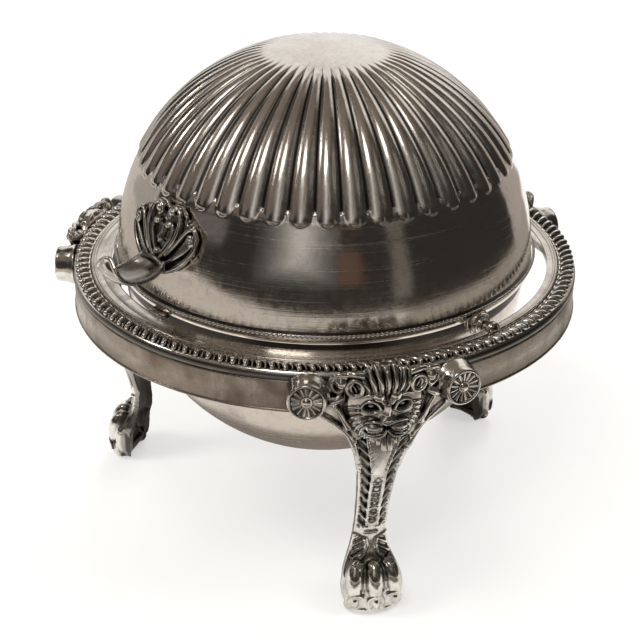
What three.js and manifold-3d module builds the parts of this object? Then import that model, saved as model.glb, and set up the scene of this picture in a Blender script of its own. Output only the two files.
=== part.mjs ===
// Caviar dish with a revolving dome, in silver plate, on three lion-mask legs.
// Millimetres, +Z up. The origin is on the ring's axis, at the plane that the paws stand on.
// The handle faces -Y, the dome's pivots lie on X, and one leg stands straight behind, at +Y.
import * as THREE from 'three';
import Module from 'manifold-3d';
import { mergeVertices } from 'three/addons/utils/BufferGeometryUtils.js';

const wasm = await Module();
wasm.setup();

// Driving dimensions
const RING_RADIUS = 88;
const BAND_BOTTOM = 82.4;
const BAND_HEIGHT = 11;
const SHEET = 1.1;
const SEAT = 0.25;

const FLANGE_INNER_RADIUS = 79.6;
const BORDER_WIDTH = 5.4;
const BORDER_HEIGHT = 3.2;
const MOULDING_WIDTH = 1.7;
const SHELF_RISE = 1.05;
const SLIT = 2.2;
const REAR_CLEARANCE = 1.3;

const DOME_RADIUS = 72.3;
const DOME_WALL = 0.9;
const DOME_RISE = 3.8;
const COLLAR_DEPTH = 3.2;
const LOBES = 46;
const LOBE_SWELL = 0.7;
const LOBE_START = 28;
const LOBE_END = 76;
const BEAD_WIRE = 0.9;

const PIVOT_ABOVE_BAND = 2.8;
const PIN_DIAMETER = 2.8;
const PIN_CLEARANCE = 0.25;
const BUSH_DIAMETER = 8.8;
const BUSH_LENGTH = 3.1;
const NOTCH_CLEARANCE = 1.6;
const EAR_WIDTH = 9;
const EAR_THICKNESS = 1.2;
const LUG_WIDTH = 5.2;
const LUG_THICKNESS = 2;
const WASHER_THICKNESS = 0.8;
const WASHER_DIAMETER = 6.4;
const NUT_DIAMETER = 6;
const NUT_THICKNESS = 2.4;

const BOWL_CLEARANCE = 1.4;
const BOWL_WALL = 0.9;
const BOWL_RIM = 4.4;
const LINER_WALL = 2.2;
const LINER_DEPTH = 40;
const LINER_GAP = 5;

const LEG_COUNT = 3;
const LEG_WIDTH = 12.6;
const PAW_WIDTH = 23;
const SOLE_DEPTH = 7;
const LEG_DEPTH = 4.6;
const BACK_HOLLOW = 1.7;
const ROUNDEL_ANGLE = 15.3;
const ROUNDEL_DIAMETER = 12.6;
const ROUNDEL_DEPTH = 7.6;
const ROUNDEL_RECESS = 0.6;
const MASK_WIDTH = 24;
const MASK_HEIGHT = 30;
const MUZZLE_OUT = 7;
const RIVET_DIAMETER = 1.6;
const RIVET_HEAD = 3.4;

const HANDLE_WIDTH = 31;
const HANDLE_HEIGHT = 21;
const HANDLE_PLATE = 1.6;
const SCROLL_WIDTH = 2.6;
const TAB_REACH = 20.8;
const TAB_LIFT = 9;
const TAB_WIDTH = 14.4;
const TAB_DISH = 2.4;
const TAB_THICKNESS = 1.5;

// Worked out from the driving dimensions
const BAND_TOP = BAND_BOTTOM + BAND_HEIGHT;
const FLANGE_TOP = BAND_TOP + 0.35;
const BORDER_BASE = FLANGE_TOP + SEAT;
const BORDER_OUTER = RING_RADIUS - 0.5;
const BORDER_INNER = BORDER_OUTER - BORDER_WIDTH;
const MOULDING_OUTER = BORDER_INNER - SEAT;
const MOULDING_INNER = MOULDING_OUTER - MOULDING_WIDTH;
const SHELF_FLAT = BORDER_BASE + 1.4;
const PIVOT_Z = BAND_TOP + PIVOT_ABOVE_BAND;
const DOME_Z = PIVOT_Z + DOME_RISE;
const COLLAR_Z = DOME_Z - COLLAR_DEPTH;
const COLLAR_RADIUS = DOME_RADIUS + 0.3;
const LOBE_RADIUS = DOME_RADIUS + LOBE_SWELL;
const SLIT_RADIUS = COLLAR_RADIUS + SLIT;
const REAR_RADIUS = LOBE_RADIUS + DOME_RISE + REAR_CLEARANCE;
const EAR_INNER = COLLAR_RADIUS + SEAT;
const EAR_OUTER = EAR_INNER + EAR_THICKNESS;
const BUSH_INNER = EAR_OUTER + SEAT;
const BUSH_OUTER = BUSH_INNER + BUSH_LENGTH;
const LUG_OUTER = MOULDING_OUTER - 0.15;
const LUG_INNER = LUG_OUTER - LUG_THICKNESS;
const BOWL_RADIUS = COLLAR_RADIUS - DOME_WALL - BOWL_CLEARANCE;
const PIN_HOLE = PIN_DIAMETER / 2 + PIN_CLEARANCE;
const RIVET_HOLE = RIVET_DIAMETER / 2 + SEAT;
const ROUNDEL_Z = BAND_BOTTOM + 6.1;
const CASTING_INNER = RING_RADIUS + SEAT + 0.35;
const ROUNDEL_FACE = CASTING_INNER + ROUNDEL_DEPTH;
const ROUND = 36;
const PIN_SIDES = 10;

const SILVER = 0xb9b0a4;
const materials = {
  band: () => new THREE.MeshStandardMaterial({ color: 0xa59a8d, roughness: 0.42, metalness: 1 }),
  border: () => new THREE.MeshStandardMaterial({ color: 0xa8a096, roughness: 0.3, metalness: 1 }),
  bright: () => new THREE.MeshStandardMaterial({ color: SILVER, roughness: 0.22, metalness: 1 }),
  cast: () => new THREE.MeshStandardMaterial({ color: 0x8e867b, roughness: 0.34, metalness: 1 }),
  fixing: () => new THREE.MeshStandardMaterial({ color: 0xc8c0b6, roughness: 0.25, metalness: 1 }),
  glass: () => new THREE.MeshStandardMaterial({ color: 0xe4ecea, roughness: 0.05, metalness: 0 }),
};

const radians = THREE.MathUtils.degToRad;
const dish = new THREE.Group();

// Turns a closed geometry into a solid, and turns it the right way out if its volume is negative.
function solid(geometry) {
  let merged = geometry.index ? geometry : geometry.clone();
  merged.deleteAttribute('normal');
  merged.deleteAttribute('uv');
  merged = mergeVertices(merged, 1e-4);
  const index = Array.from(merged.index.array);
  const place = merged.attributes.position;
  const corners = [];
  for (let i = 0; i < index.length; i += 3) {
    const [a, b, c] = [index[i], index[i + 1], index[i + 2]];
    if (a !== b && b !== c && c !== a) corners.push(a, b, c);
  }
  const a = new THREE.Vector3();
  const b = new THREE.Vector3();
  const c = new THREE.Vector3();
  let volume = 0;
  for (let i = 0; i < corners.length; i += 3) {
    a.fromBufferAttribute(place, corners[i]);
    b.fromBufferAttribute(place, corners[i + 1]);
    c.fromBufferAttribute(place, corners[i + 2]);
    volume += a.dot(b.cross(c));
  }
  if (volume < 0) corners.reverse();
  return new wasm.Manifold(new wasm.Mesh({
    numProp: 3,
    vertProperties: new Float32Array(place.array),
    triVerts: new Uint32Array(corners),
  }));
}

function add(name, body, material) {
  const data = body.getMesh();
  const geometry = new THREE.BufferGeometry();
  geometry.setAttribute('position', new THREE.BufferAttribute(data.vertProperties, 3));
  geometry.setIndex(new THREE.BufferAttribute(data.triVerts, 1));
  geometry.computeVertexNormals();
  const mesh = new THREE.Mesh(geometry, material);
  mesh.name = name;
  dish.add(mesh);
}

function join(parts) {
  return parts.slice(1).reduce((sum, part) => sum.add(part), parts[0]);
}

// A profile of [radius, height] points turned about the dish's axis.
function turned(points, segments = ROUND) {
  const outline = points.map(([radius, height]) => new THREE.Vector2(radius, height));
  return solid(new THREE.LatheGeometry(outline, segments).rotateX(Math.PI / 2));
}

function closed(points) {
  return [...points, points[0]];
}

// Points on an arc in the profile's plane, from one angle to another, in degrees.
function arc(centre, radius, from, to, steps) {
  return Array.from({ length: steps + 1 }, (_, i) => {
    const angle = radians(from + ((to - from) * i) / steps);
    return [centre[0] + radius * Math.cos(angle), centre[1] + radius * Math.sin(angle)];
  });
}

// A round bar along X, from one x to another, about the given y and z.
function barX(radius, from, to, y, z, sides = 20) {
  const bar = new THREE.CylinderGeometry(radius, radius, Math.abs(to - from), sides);
  return solid(bar.rotateZ(Math.PI / 2).translate((from + to) / 2, y, z));
}

// A round bar along the radial line that points to -Y, between two distances from the axis.
function barOut(radius, from, to, x, z, sides = 20) {
  const bar = new THREE.CylinderGeometry(radius, radius, Math.abs(to - from), sides);
  return solid(bar.translate(0, -(from + to) / 2, 0).translate(x, 0, z));
}

function block(x0, x1, y0, y1, z0, z1) {
  const box = new THREE.BoxGeometry(x1 - x0, y1 - y0, z1 - z0);
  return solid(box.translate((x0 + x1) / 2, (y0 + y1) / 2, (z0 + z1) / 2));
}

// An ellipsoid with its own three radii, out from the axis towards -Y.
function egg(x, out, z, radiusX, radiusOut, radiusZ, detail = 12) {
  const ball = new THREE.SphereGeometry(1, detail, Math.max(6, Math.round(detail * 0.6)));
  return solid(ball.rotateX(Math.PI / 2).scale(radiusX, radiusOut, radiusZ).translate(x, -out, z));
}

// Closed skin over a row of sections, each a ring of the same number of points.
function loft(sections) {
  const count = sections[0].length;
  const places = sections.flat().flat();
  const corners = [];
  for (let row = 0; row < sections.length - 1; row += 1) {
    for (let i = 0; i < count; i += 1) {
      const next = (i + 1) % count;
      const [a, b] = [row * count + i, row * count + next];
      corners.push(a, b, b + count, a, b + count, a + count);
    }
  }
  for (let i = 1; i < count - 1; i += 1) {
    const last = (sections.length - 1) * count;
    corners.push(0, i + 1, i, last, last + i, last + i + 1);
  }
  const geometry = new THREE.BufferGeometry();
  geometry.setAttribute('position', new THREE.BufferAttribute(new Float32Array(places), 3));
  geometry.setIndex(corners);
  return solid(geometry);
}

function turnedAbout(body, degrees) {
  return body.rotate([0, 0, degrees]);
}

// The ring's band: skirt, rolled lower edge and the flange that carries border and shelf.
function makeBand() {
  const inner = RING_RADIUS - SHEET;
  const roll = 0.35;
  const profile = closed([
    [inner, BAND_BOTTOM + roll],
    [inner + roll, BAND_BOTTOM],
    [RING_RADIUS, BAND_BOTTOM],
    [RING_RADIUS + roll, BAND_BOTTOM + 0.6],
    [RING_RADIUS, BAND_BOTTOM + 1.3],
    [RING_RADIUS, BAND_TOP - 0.4],
    [RING_RADIUS - 0.4, BAND_TOP],
    [RING_RADIUS - 1.2, FLANGE_TOP],
    [FLANGE_INNER_RADIUS, FLANGE_TOP],
    [FLANGE_INNER_RADIUS, FLANGE_TOP - SHEET],
    [inner - 0.6, FLANGE_TOP - SHEET],
    [inner, FLANGE_TOP - SHEET - 0.8],
  ]);
  let band = turned(profile);
  for (const angle of rivetAngles()) {
    const hole = barOut(RIVET_HOLE, inner - 2, RING_RADIUS + 2, 0, ROUNDEL_Z, 6);
    band = band.subtract(turnedAbout(hole, angle));
  }
  return band;
}

function legAngles() {
  return Array.from({ length: LEG_COUNT }, (_, i) => 360 / LEG_COUNT / 2 + (i * 360) / LEG_COUNT);
}

function rivetAngles() {
  return legAngles().flatMap((angle) => [angle - ROUNDEL_ANGLE, angle + ROUNDEL_ANGLE]);
}

// The border is a half-round ring with a plain quarter-round shoulder outside.
function makeBorder() {
  const middle = (BORDER_OUTER + BORDER_INNER) / 2 - 0.3;
  const crown = arc([middle, BORDER_BASE + 0.6], 1, 20, 170, 5).map(([r, z]) => [
    middle + (r - middle) * (BORDER_WIDTH / 2 - 0.3),
    BORDER_BASE + 0.6 + (z - BORDER_BASE - 0.6) * (BORDER_HEIGHT - 0.6),
  ]);
  return turned(closed([
    [BORDER_INNER, BORDER_BASE],
    [BORDER_OUTER - 0.5, BORDER_BASE],
    [BORDER_OUTER, BORDER_BASE + 0.5],
    [BORDER_OUTER - 0.1, BORDER_BASE + 1.2],
    ...crown,
    [BORDER_INNER, BORDER_BASE + 0.9],
  ]));
}

// Height of the shelf's upper face, which rises a little towards the dome.
function shelfTop(radius) {
  const share = (MOULDING_INNER - radius) / (MOULDING_INNER - SLIT_RADIUS);
  return SHELF_FLAT + SHELF_RISE * share;
}

function makeShelf() {
  const lip = 1.2;
  const top = SHELF_FLAT + 0.75;
  const rear = turned(closed([
    [REAR_RADIUS, FLANGE_TOP - SHEET],
    [REAR_RADIUS + lip, FLANGE_TOP - SHEET],
    [REAR_RADIUS + lip, BORDER_BASE],
    [MOULDING_OUTER, BORDER_BASE],
    [MOULDING_OUTER, top - 0.5],
    [MOULDING_OUTER - 0.5, top],
    [MOULDING_OUTER - 1.1, top],
    [MOULDING_INNER, SHELF_FLAT],
    [REAR_RADIUS + 0.4, shelfTop(REAR_RADIUS + 0.4)],
    [REAR_RADIUS, shelfTop(REAR_RADIUS) - 0.4],
  ]));
  const overlap = REAR_RADIUS + 0.6;
  const wide = turned(closed([
    [overlap, shelfTop(overlap)],
    [SLIT_RADIUS + 0.4, shelfTop(SLIT_RADIUS)],
    [SLIT_RADIUS, shelfTop(SLIT_RADIUS) - 0.4],
    [SLIT_RADIUS, FLANGE_TOP],
    [SLIT_RADIUS + lip, FLANGE_TOP],
    [SLIT_RADIUS + lip, shelfTop(SLIT_RADIUS) - SHEET],
    [overlap, shelfTop(overlap) - SHEET],
  ]));
  const reach = RING_RADIUS + 10;
  const front = wide.intersect(block(-reach, reach, -reach, 0, 0, DOME_Z));
  let shelf = rear.add(front);
  for (const side of [1, -1]) {
    const notchRadius = BUSH_DIAMETER / 2 + NOTCH_CLEARANCE;
    const notch = barX(notchRadius, side * (SLIT_RADIUS - 3), side * (REAR_RADIUS + 0.1), 0, PIVOT_Z);
    const trough = barX(PIN_HOLE, side * REAR_RADIUS, side * LUG_OUTER, 0, PIVOT_Z, PIN_SIDES);
    shelf = shelf.subtract(notch).subtract(trough).subtract(lugBody(side, SEAT));
  }
  const tabTop = COLLAR_Z - SEAT;
  const tab = block(-4, 4, -(SLIT_RADIUS + 0.6), -(COLLAR_RADIUS - 0.9), tabTop - 1.6, tabTop);
  return shelf.add(tab);
}

// A tongue with a round top that stands on the band's flange and carries the pin.
function lugBody(side, margin = 0) {
  const half = LUG_WIDTH / 2 + margin;
  const from = side * (LUG_INNER - margin);
  const to = side * (LUG_OUTER + margin + (margin > 0 ? 1 : 0));
  const round = barX(half, from, to, 0, PIVOT_Z, 18);
  const foot = block(Math.min(from, to), Math.max(from, to), -half, half, BORDER_BASE - margin, PIVOT_Z);
  const below = block(-RING_RADIUS, RING_RADIUS, -half - 1, half + 1, 0, BORDER_BASE - margin);
  return round.add(foot).subtract(below);
}

// The straight hole that a pin needs from the bowl's inside to the lug.
function pinBore(side) {
  return barX(PIN_HOLE, side * (BOWL_RADIUS - 12), side * (LUG_OUTER + 2), 0, PIVOT_Z, PIN_SIDES);
}

function makePivots(side, word) {
  const bore = pinBore(side);
  add(`pivot_lug_${word}`, lugBody(side).subtract(bore), materials.cast());

  const bush = barX(BUSH_DIAMETER / 2, side * BUSH_INNER, side * BUSH_OUTER, 0, PIVOT_Z, 20);
  add(`pivot_bush_${word}`, bush.subtract(bore), materials.fixing());

  const washerFrom = BOWL_RADIUS + SEAT;
  const washerTo = washerFrom + WASHER_THICKNESS;
  const washer = barX(WASHER_DIAMETER / 2, side * washerFrom, side * washerTo, 0, PIVOT_Z, 16);
  add(`pivot_washer_${word}`, washer.subtract(bore), materials.fixing());

  const nutTo = Math.sqrt((BOWL_RADIUS - BOWL_WALL) ** 2 - (NUT_DIAMETER / 2) ** 2) - 2 * SEAT;
  const nut = barX(NUT_DIAMETER / 2, side * (nutTo - NUT_THICKNESS), side * nutTo, 0, PIVOT_Z, 6);
  add(`pivot_nut_${word}`, nut.subtract(bore), materials.fixing());

  const pinEnd = nutTo - NUT_THICKNESS - 0.6;
  const pin = barX(PIN_DIAMETER / 2, side * pinEnd, side * LUG_OUTER, 0, PIVOT_Z, PIN_SIDES);
  add(`pivot_pin_${word}`, pin, materials.fixing());

  const half = EAR_WIDTH / 2;
  const earTop = DOME_Z - BEAD_WIRE / 2 - 2 * SEAT;
  const round = barX(half, side * EAR_INNER, side * EAR_OUTER, 0, PIVOT_Z, 20);
  const xs = [side * EAR_INNER, side * EAR_OUTER].sort((a, b) => a - b);
  const ear = round.add(block(xs[0], xs[1], -half, half, PIVOT_Z, earTop));
  const above = block(-RING_RADIUS, RING_RADIUS, -half - 1, half + 1, earTop, DOME_Z + 20);
  add(`dome_ear_${word}`, ear.subtract(above).subtract(bore), materials.bright());
}

function makeBowl() {
  const inside = BOWL_RADIUS - BOWL_WALL;
  const rim = PIVOT_Z + BOWL_RIM;
  const outer = arc([0, PIVOT_Z], BOWL_RADIUS, -90, 0, 7);
  const inner = arc([0, PIVOT_Z], inside, 0, -90, 7);
  outer[0][0] = 0;
  inner[inner.length - 1][0] = 0;
  const bowl = turned([
    ...outer,
    [BOWL_RADIUS, rim - 0.4],
    [BOWL_RADIUS - 0.4, rim],
    [inside, rim],
    ...inner,
  ]);
  return bowl.subtract(pinBore(1)).subtract(pinBore(-1));
}

// The glass liner hangs by its flange on the bowl's rim.
function makeLiner() {
  const rim = PIVOT_Z + BOWL_RIM + SEAT;
  const mouth = BOWL_RADIUS - BOWL_WALL - NUT_THICKNESS - LINER_GAP;
  const floor = rim - LINER_DEPTH;
  const foot = mouth * 0.45;
  const curve = new THREE.SplineCurve([
    new THREE.Vector2(foot, floor),
    new THREE.Vector2(mouth * 0.8, floor + LINER_DEPTH * 0.28),
    new THREE.Vector2(mouth * 0.95, floor + LINER_DEPTH * 0.65),
    new THREE.Vector2(mouth, rim),
  ]);
  const wall = curve.getPoints(5).map((point) => [point.x, point.y]);
  const inside = wall.slice(0, -1).map(([r, z]) => [r - LINER_WALL, z + LINER_WALL]).reverse();
  return turned([
    [0, floor],
    ...wall,
    [BOWL_RADIUS - SEAT, rim],
    [BOWL_RADIUS - SEAT, rim + 1.4],
    [BOWL_RADIUS - 1, rim + 1.9],
    [mouth - LINER_WALL + 0.8, rim + 1.9],
    [mouth - LINER_WALL, rim + 1],
    ...inside,
    [0, floor + LINER_WALL],
  ]);
}

// How far the surface stands out from the plain dome, at a share of a lobe and an elevation.
function lobeSwell(share, elevation) {
  const across = 2 * share - 1;
  const round = Math.sqrt(Math.max(0, 1 - across * across));
  const foot = LOBE_START + 3 * (1 - round);
  const rising = THREE.MathUtils.smoothstep(elevation, foot, foot + 2);
  const fading = 1 - THREE.MathUtils.smoothstep(elevation, LOBE_END - 3, LOBE_END);
  return rising * fading * LOBE_SWELL * (2 * round - 1);
}

// The fluted dome: one skin of rings, each with three points to a lobe, hollowed by a turned core.
function makeDome() {
  const perLobe = 3;
  const around = LOBES * perLobe;
  const elevations = [0, 14, LOBE_START, LOBE_START + 2.5, 40, 52, 64, LOBE_END, 83];
  const ring = (radiusAt, z) => Array.from({ length: around }, (_, i) => {
    const angle = (i / around) * 2 * Math.PI;
    const [radius, height] = [radiusAt(i), z(i)];
    return [radius * Math.sin(angle), -radius * Math.cos(angle), height];
  });
  const rows = [
    ring(() => COLLAR_RADIUS, () => COLLAR_Z),
    ring(() => COLLAR_RADIUS, () => DOME_Z - 1.3),
  ];
  for (const elevation of elevations) {
    const up = radians(elevation);
    const distance = (i) => DOME_RADIUS + lobeSwell((i % perLobe) / perLobe, elevation);
    rows.push(ring((i) => distance(i) * Math.cos(up), (i) => DOME_Z + distance(i) * Math.sin(up)));
  }
  const skin = loft([...rows, ring(() => 0.5, () => DOME_Z + DOME_RADIUS)]);
  const band = COLLAR_RADIUS - DOME_WALL;
  const fluted = DOME_RADIUS - LOBE_SWELL - DOME_WALL;
  const core = turned([
    [0, COLLAR_Z - 5],
    [band, COLLAR_Z - 5],
    [band, DOME_Z],
    ...arc([0, DOME_Z], fluted, 5, 90, 9).slice(0, -1),
    [0, DOME_Z + fluted],
  ]);
  return skin.subtract(core).subtract(pinBore(1)).subtract(pinBore(-1));
}

function makeBead() {
  const middle = COLLAR_RADIUS + SEAT + BEAD_WIRE / 2;
  return turned(closed(arc([middle, DOME_Z], BEAD_WIRE / 2, 0, 288, 4)));
}

// Handle: a shell with four scrolls that follows the dome, with a curled thumb tab.
function makeHandle() {
  const base = DOME_Z + HANDLE_HEIGHT * 0.61;
  const half = HANDLE_WIDTH / 2;
  const rise = HANDLE_HEIGHT;
  const edge = [
    [0.3, -0.06], [0.62, 0], [0.78, 0.2], [1, 0.44], [0.98, 0.63],
    [0.76, 0.76], [0.56, 0.8], [0.5, 0.94], [0.26, 1.02], [0.08, 0.99],
  ].map(([across, up]) => [half * across, base + rise * up]);
  const outline = new THREE.Shape();
  edge.forEach(([x, z], i) => (i === 0 ? outline.moveTo(x, z) : outline.lineTo(x, z)));
  [...edge].reverse().forEach(([x, z]) => outline.lineTo(-x, z));
  outline.closePath();
  const slab = new THREE.ExtrudeGeometry(outline, { depth: 60, bevelEnabled: false });
  const column = solid(slab.rotateX(Math.PI / 2).translate(0, -30, 0));
  const sphere = (radius) => turned([
    [0, DOME_Z - radius],
    ...arc([0, DOME_Z], radius, -90, 90, 16).slice(1, -1),
    [0, DOME_Z + radius],
  ]);
  const under = sphere(LOBE_RADIUS + SEAT);
  const shell = sphere(LOBE_RADIUS + SEAT + HANDLE_PLATE).subtract(under);
  const parts = [column.intersect(shell)];
  const place = (across, up) => {
    const [x, z] = [half * across, base + rise * up];
    return new THREE.Vector3(x, -Math.sqrt((LOBE_RADIUS + SEAT + 1.3) ** 2 - x * x - (z - DOME_Z) ** 2), z);
  };
  const topScroll = [[0.12, 0], [0.34, 0.38], [0.46, 0.78], [0.3, 0.96]];
  const flankScroll = [[0.2, -0.02], [0.6, 0.2], [0.86, 0.5], [0.7, 0.7]];
  for (const side of [-1, 1]) {
    parts.push(bar(topScroll.map(([across, up]) => place(side * across, up))));
    parts.push(bar(flankScroll.map(([across, up]) => place(side * across, up))));
    const [top, flank] = [place(side * 0.2, 0.9), place(side * 0.9, 0.54)];
    parts.push(egg(top.x, -top.y + 0.4, top.z, SCROLL_WIDTH * 0.8, 2, SCROLL_WIDTH * 0.8, 7));
    parts.push(egg(flank.x, -flank.y + 0.4, flank.z, SCROLL_WIDTH * 0.8, 2, SCROLL_WIDTH * 0.8, 7));
  }
  parts.push(egg(0, LOBE_RADIUS + SEAT + 0.9, base + 1.4, HANDLE_WIDTH * 0.22, 2.6, 2.4, 8));
  parts.push(tabBody(base));
  return join(parts).subtract(under);
}

// A rounded bar along a smooth line, with round ends.
function bar(points) {
  const line = new THREE.CatmullRomCurve3(points);
  const steps = 6;
  const sides = 6;
  const radius = SCROLL_WIDTH / 2;
  const { normals, binormals } = line.computeFrenetFrames(steps);
  const sections = normals.map((normal, i) => Array.from({ length: sides }, (_, k) => {
    const angle = (k / sides) * 2 * Math.PI;
    return line.getPointAt(i / steps)
      .addScaledVector(normal, radius * Math.cos(angle))
      .addScaledVector(binormals[i], radius * Math.sin(angle))
      .toArray();
  }));
  const ends = [points[0], points[points.length - 1]];
  return join([loft(sections), ...ends.map((end) => egg(end.x, -end.y, end.z, radius, radius, radius, 6))]);
}

// The thumb tab leaves the shell almost level, dips and curls up and back to a round tip.
function tabBody(base) {
  const root = LOBE_RADIUS + SEAT;
  const line = new THREE.SplineCurve([
    new THREE.Vector2(root - 0.6, base + 1.4),
    new THREE.Vector2(root + TAB_REACH * 0.2, base - 0.9),
    new THREE.Vector2(root + TAB_REACH * 0.5, base - 1.6),
    new THREE.Vector2(root + TAB_REACH * 0.82, base),
    new THREE.Vector2(root + TAB_REACH * 0.99, base + TAB_LIFT * 0.5),
    new THREE.Vector2(root + TAB_REACH * 0.94, base + TAB_LIFT),
  ]);
  const steps = 9;
  const sections = [];
  for (let i = 0; i <= steps; i += 1) {
    const share = i / steps;
    const middle = line.getPoint(share);
    const along = line.getTangent(share);
    const tipRound = Math.sqrt(Math.max(0.06, 1 - Math.max(0, (share - 0.66) / 0.34) ** 2));
    const half = (TAB_WIDTH / 2) * tipRound;
    const dish = TAB_DISH * tipRound * Math.min(1, 0.4 + share * 2);
    const across = [-1, -0.5, 0, 0.5, 1];
    const lower = across.map((t) => placeOnTab(middle, along, t * half, dish * t * t));
    const upper = across.map((t) => placeOnTab(middle, along, t * half, TAB_THICKNESS + dish * t * t));
    sections.push([...lower, ...upper.reverse()]);
  }
  return loft(sections);
}

function placeOnTab(middle, along, x, lift) {
  return [x, -(middle.x - along.y * lift), middle.y + along.x * lift];
}

// Stations of the leg from the sole up: share of the height under the band, how far the front
// stands out from the band, depth from front to back, width, and how far the back is hollowed.
function legStations() {
  return [
    [0, -5, SOLE_DEPTH, 0.72 * PAW_WIDTH, BACK_HOLLOW],
    [0.03, -3.4, SOLE_DEPTH + 1.2, 0.92 * PAW_WIDTH, 1.5 * BACK_HOLLOW],
    [0.11, -3.8, SOLE_DEPTH + 1.6, PAW_WIDTH, 2 * BACK_HOLLOW],
    [0.16, -6, SOLE_DEPTH + 0.6, 0.98 * PAW_WIDTH, 2 * BACK_HOLLOW],
    [0.2, -9.4, 1.25 * LEG_DEPTH, 0.86 * PAW_WIDTH, 1.4 * BACK_HOLLOW],
    [0.26, -11.5, LEG_DEPTH, 1.28 * LEG_WIDTH, BACK_HOLLOW],
    [0.34, -11.6, LEG_DEPTH, 1.04 * LEG_WIDTH, BACK_HOLLOW],
    [0.46, -9, LEG_DEPTH, LEG_WIDTH, BACK_HOLLOW],
    [0.6, -5, 1.04 * LEG_DEPTH, 1.06 * LEG_WIDTH, BACK_HOLLOW],
    [0.74, -0.8, 1.15 * LEG_DEPTH, 1.2 * LEG_WIDTH, BACK_HOLLOW],
    [0.86, 2.4, 1.3 * LEG_DEPTH, 1.52 * LEG_WIDTH, BACK_HOLLOW],
    [0.97, 4, 1.4 * LEG_DEPTH, 1.86 * LEG_WIDTH, 0],
    [1.04, 4.2, 1.2 * LEG_DEPTH, 2 * LEG_WIDTH, 0],
  ];
}

// One D-shaped section of the leg, from the middle of its front round to the hollowed back.
function legSection([share, out, depth, width, hollow]) {
  const front = RING_RADIUS + out;
  const back = front - depth;
  const half = width / 2;
  const flank = back + depth * 0.45;
  const arch = [25, 50, 75].map((angle) => [
    half * Math.sin(radians(angle)) * 1.03,
    flank + (front - flank) * Math.cos(radians(angle)),
  ]);
  const right = [...arch, [half, flank], [half, back], [half * 0.55, back + hollow * 0.8]];
  const left = right.map(([x, y]) => [-x, y]).reverse();
  const ring = [[0, front], ...right, [0, back + hollow], ...left];
  return ring.map(([x, y]) => [x, -y, share * BAND_BOTTOM]);
}

function makeLeg() {
  const maskZ = BAND_BOTTOM + 2.8;
  const maskOut = RING_RADIUS + 1.2;
  const halfMask = MASK_HEIGHT / 2;
  const parts = [loft(legStations().map(legSection))];
  for (const side of [-1, 0, 1]) {
    const toeOut = RING_RADIUS - 7.4 + (side === 0 ? 0.6 : 0);
    parts.push(egg(side * PAW_WIDTH * 0.31, toeOut, 9.4, PAW_WIDTH * 0.17, 4.6, 7.4, 8));
  }
  parts.push(egg(0, maskOut, maskZ, MASK_WIDTH / 2, 4.9, halfMask, 10));
  parts.push(egg(0, maskOut + MUZZLE_OUT / 2, maskZ - halfMask * 0.46, 5.6, MUZZLE_OUT / 2, 3.2, 7));
  parts.push(egg(0, maskOut + MUZZLE_OUT * 0.64, maskZ - halfMask * 0.1, 1.8, 2.3, 4.4, 5));
  parts.push(egg(0, maskOut + 2.2, maskZ - halfMask * 0.82, 3.2, 2.4, 3.4, 6));
  for (const side of [-1, 1]) {
    parts.push(egg(side * MASK_WIDTH * 0.36, maskOut + 1.4, maskZ + halfMask * 0.46, 2.9, 3, 2.9, 6));
  }
  parts.push(shoulderBar());
  for (const side of [-1, 1]) {
    const drum = barOut(ROUNDEL_DIAMETER / 2, CASTING_INNER, ROUNDEL_FACE, 0, ROUNDEL_Z, 12);
    const recessFrom = ROUNDEL_FACE - ROUNDEL_RECESS;
    const recess = barOut(ROUNDEL_DIAMETER / 2 - 1.2, recessFrom, ROUNDEL_FACE + 3, 0, ROUNDEL_Z, 8);
    parts.push(turnedAbout(drum.subtract(recess), side * ROUNDEL_ANGLE));
    const scroll = egg(0, RING_RADIUS + 2.6, BAND_TOP - 0.4, 2.9, 2.6, 3, 6);
    parts.push(turnedAbout(scroll, side * ROUNDEL_ANGLE * 0.6));
  }
  const ringRoom = turned([
    [0, BAND_BOTTOM - SEAT - 0.35],
    [CASTING_INNER, BAND_BOTTOM - SEAT - 0.35],
    [CASTING_INNER, DOME_Z + 20],
    [0, DOME_Z + 20],
  ]);
  const floor = block(-60, 60, -RING_RADIUS - 40, 0, -20, 0);
  let leg = join(parts).subtract(ringRoom).subtract(floor);
  for (const side of [-1, 1]) {
    const hole = barOut(RIVET_HOLE, RING_RADIUS - 3, RING_RADIUS + 14, 0, ROUNDEL_Z, 6);
    leg = leg.subtract(turnedAbout(hole, side * ROUNDEL_ANGLE));
  }
  return leg;
}

// The curved bar that joins mask and roundels along the band.
function shoulderBar() {
  const reach = radians(ROUNDEL_ANGLE);
  const middle = -Math.PI / 2;
  const bar = new THREE.Shape();
  bar.absarc(0, 0, CASTING_INNER + 3.2, middle - reach, middle + reach, false);
  bar.absarc(0, 0, CASTING_INNER, middle + reach, middle - reach, true);
  const height = 8.4;
  const body = new THREE.ExtrudeGeometry(bar, { depth: height, bevelEnabled: false, curveSegments: 4 });
  return solid(body.translate(0, 0, ROUNDEL_Z - height / 2));
}

function makeRivet() {
  const shankTo = ROUNDEL_FACE - ROUNDEL_RECESS + SEAT;
  const inside = RING_RADIUS - SHEET - SEAT - 0.1;
  const shank = barOut(RIVET_DIAMETER / 2, inside - 0.9, shankTo, 0, ROUNDEL_Z, 8);
  const head = barOut(RIVET_HEAD / 2, shankTo, shankTo + 0.8, 0, ROUNDEL_Z, 8);
  const clinch = barOut(RIVET_HEAD / 2, inside - 1, inside, 0, ROUNDEL_Z, 8);
  return join([shank, head, clinch]);
}

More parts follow.
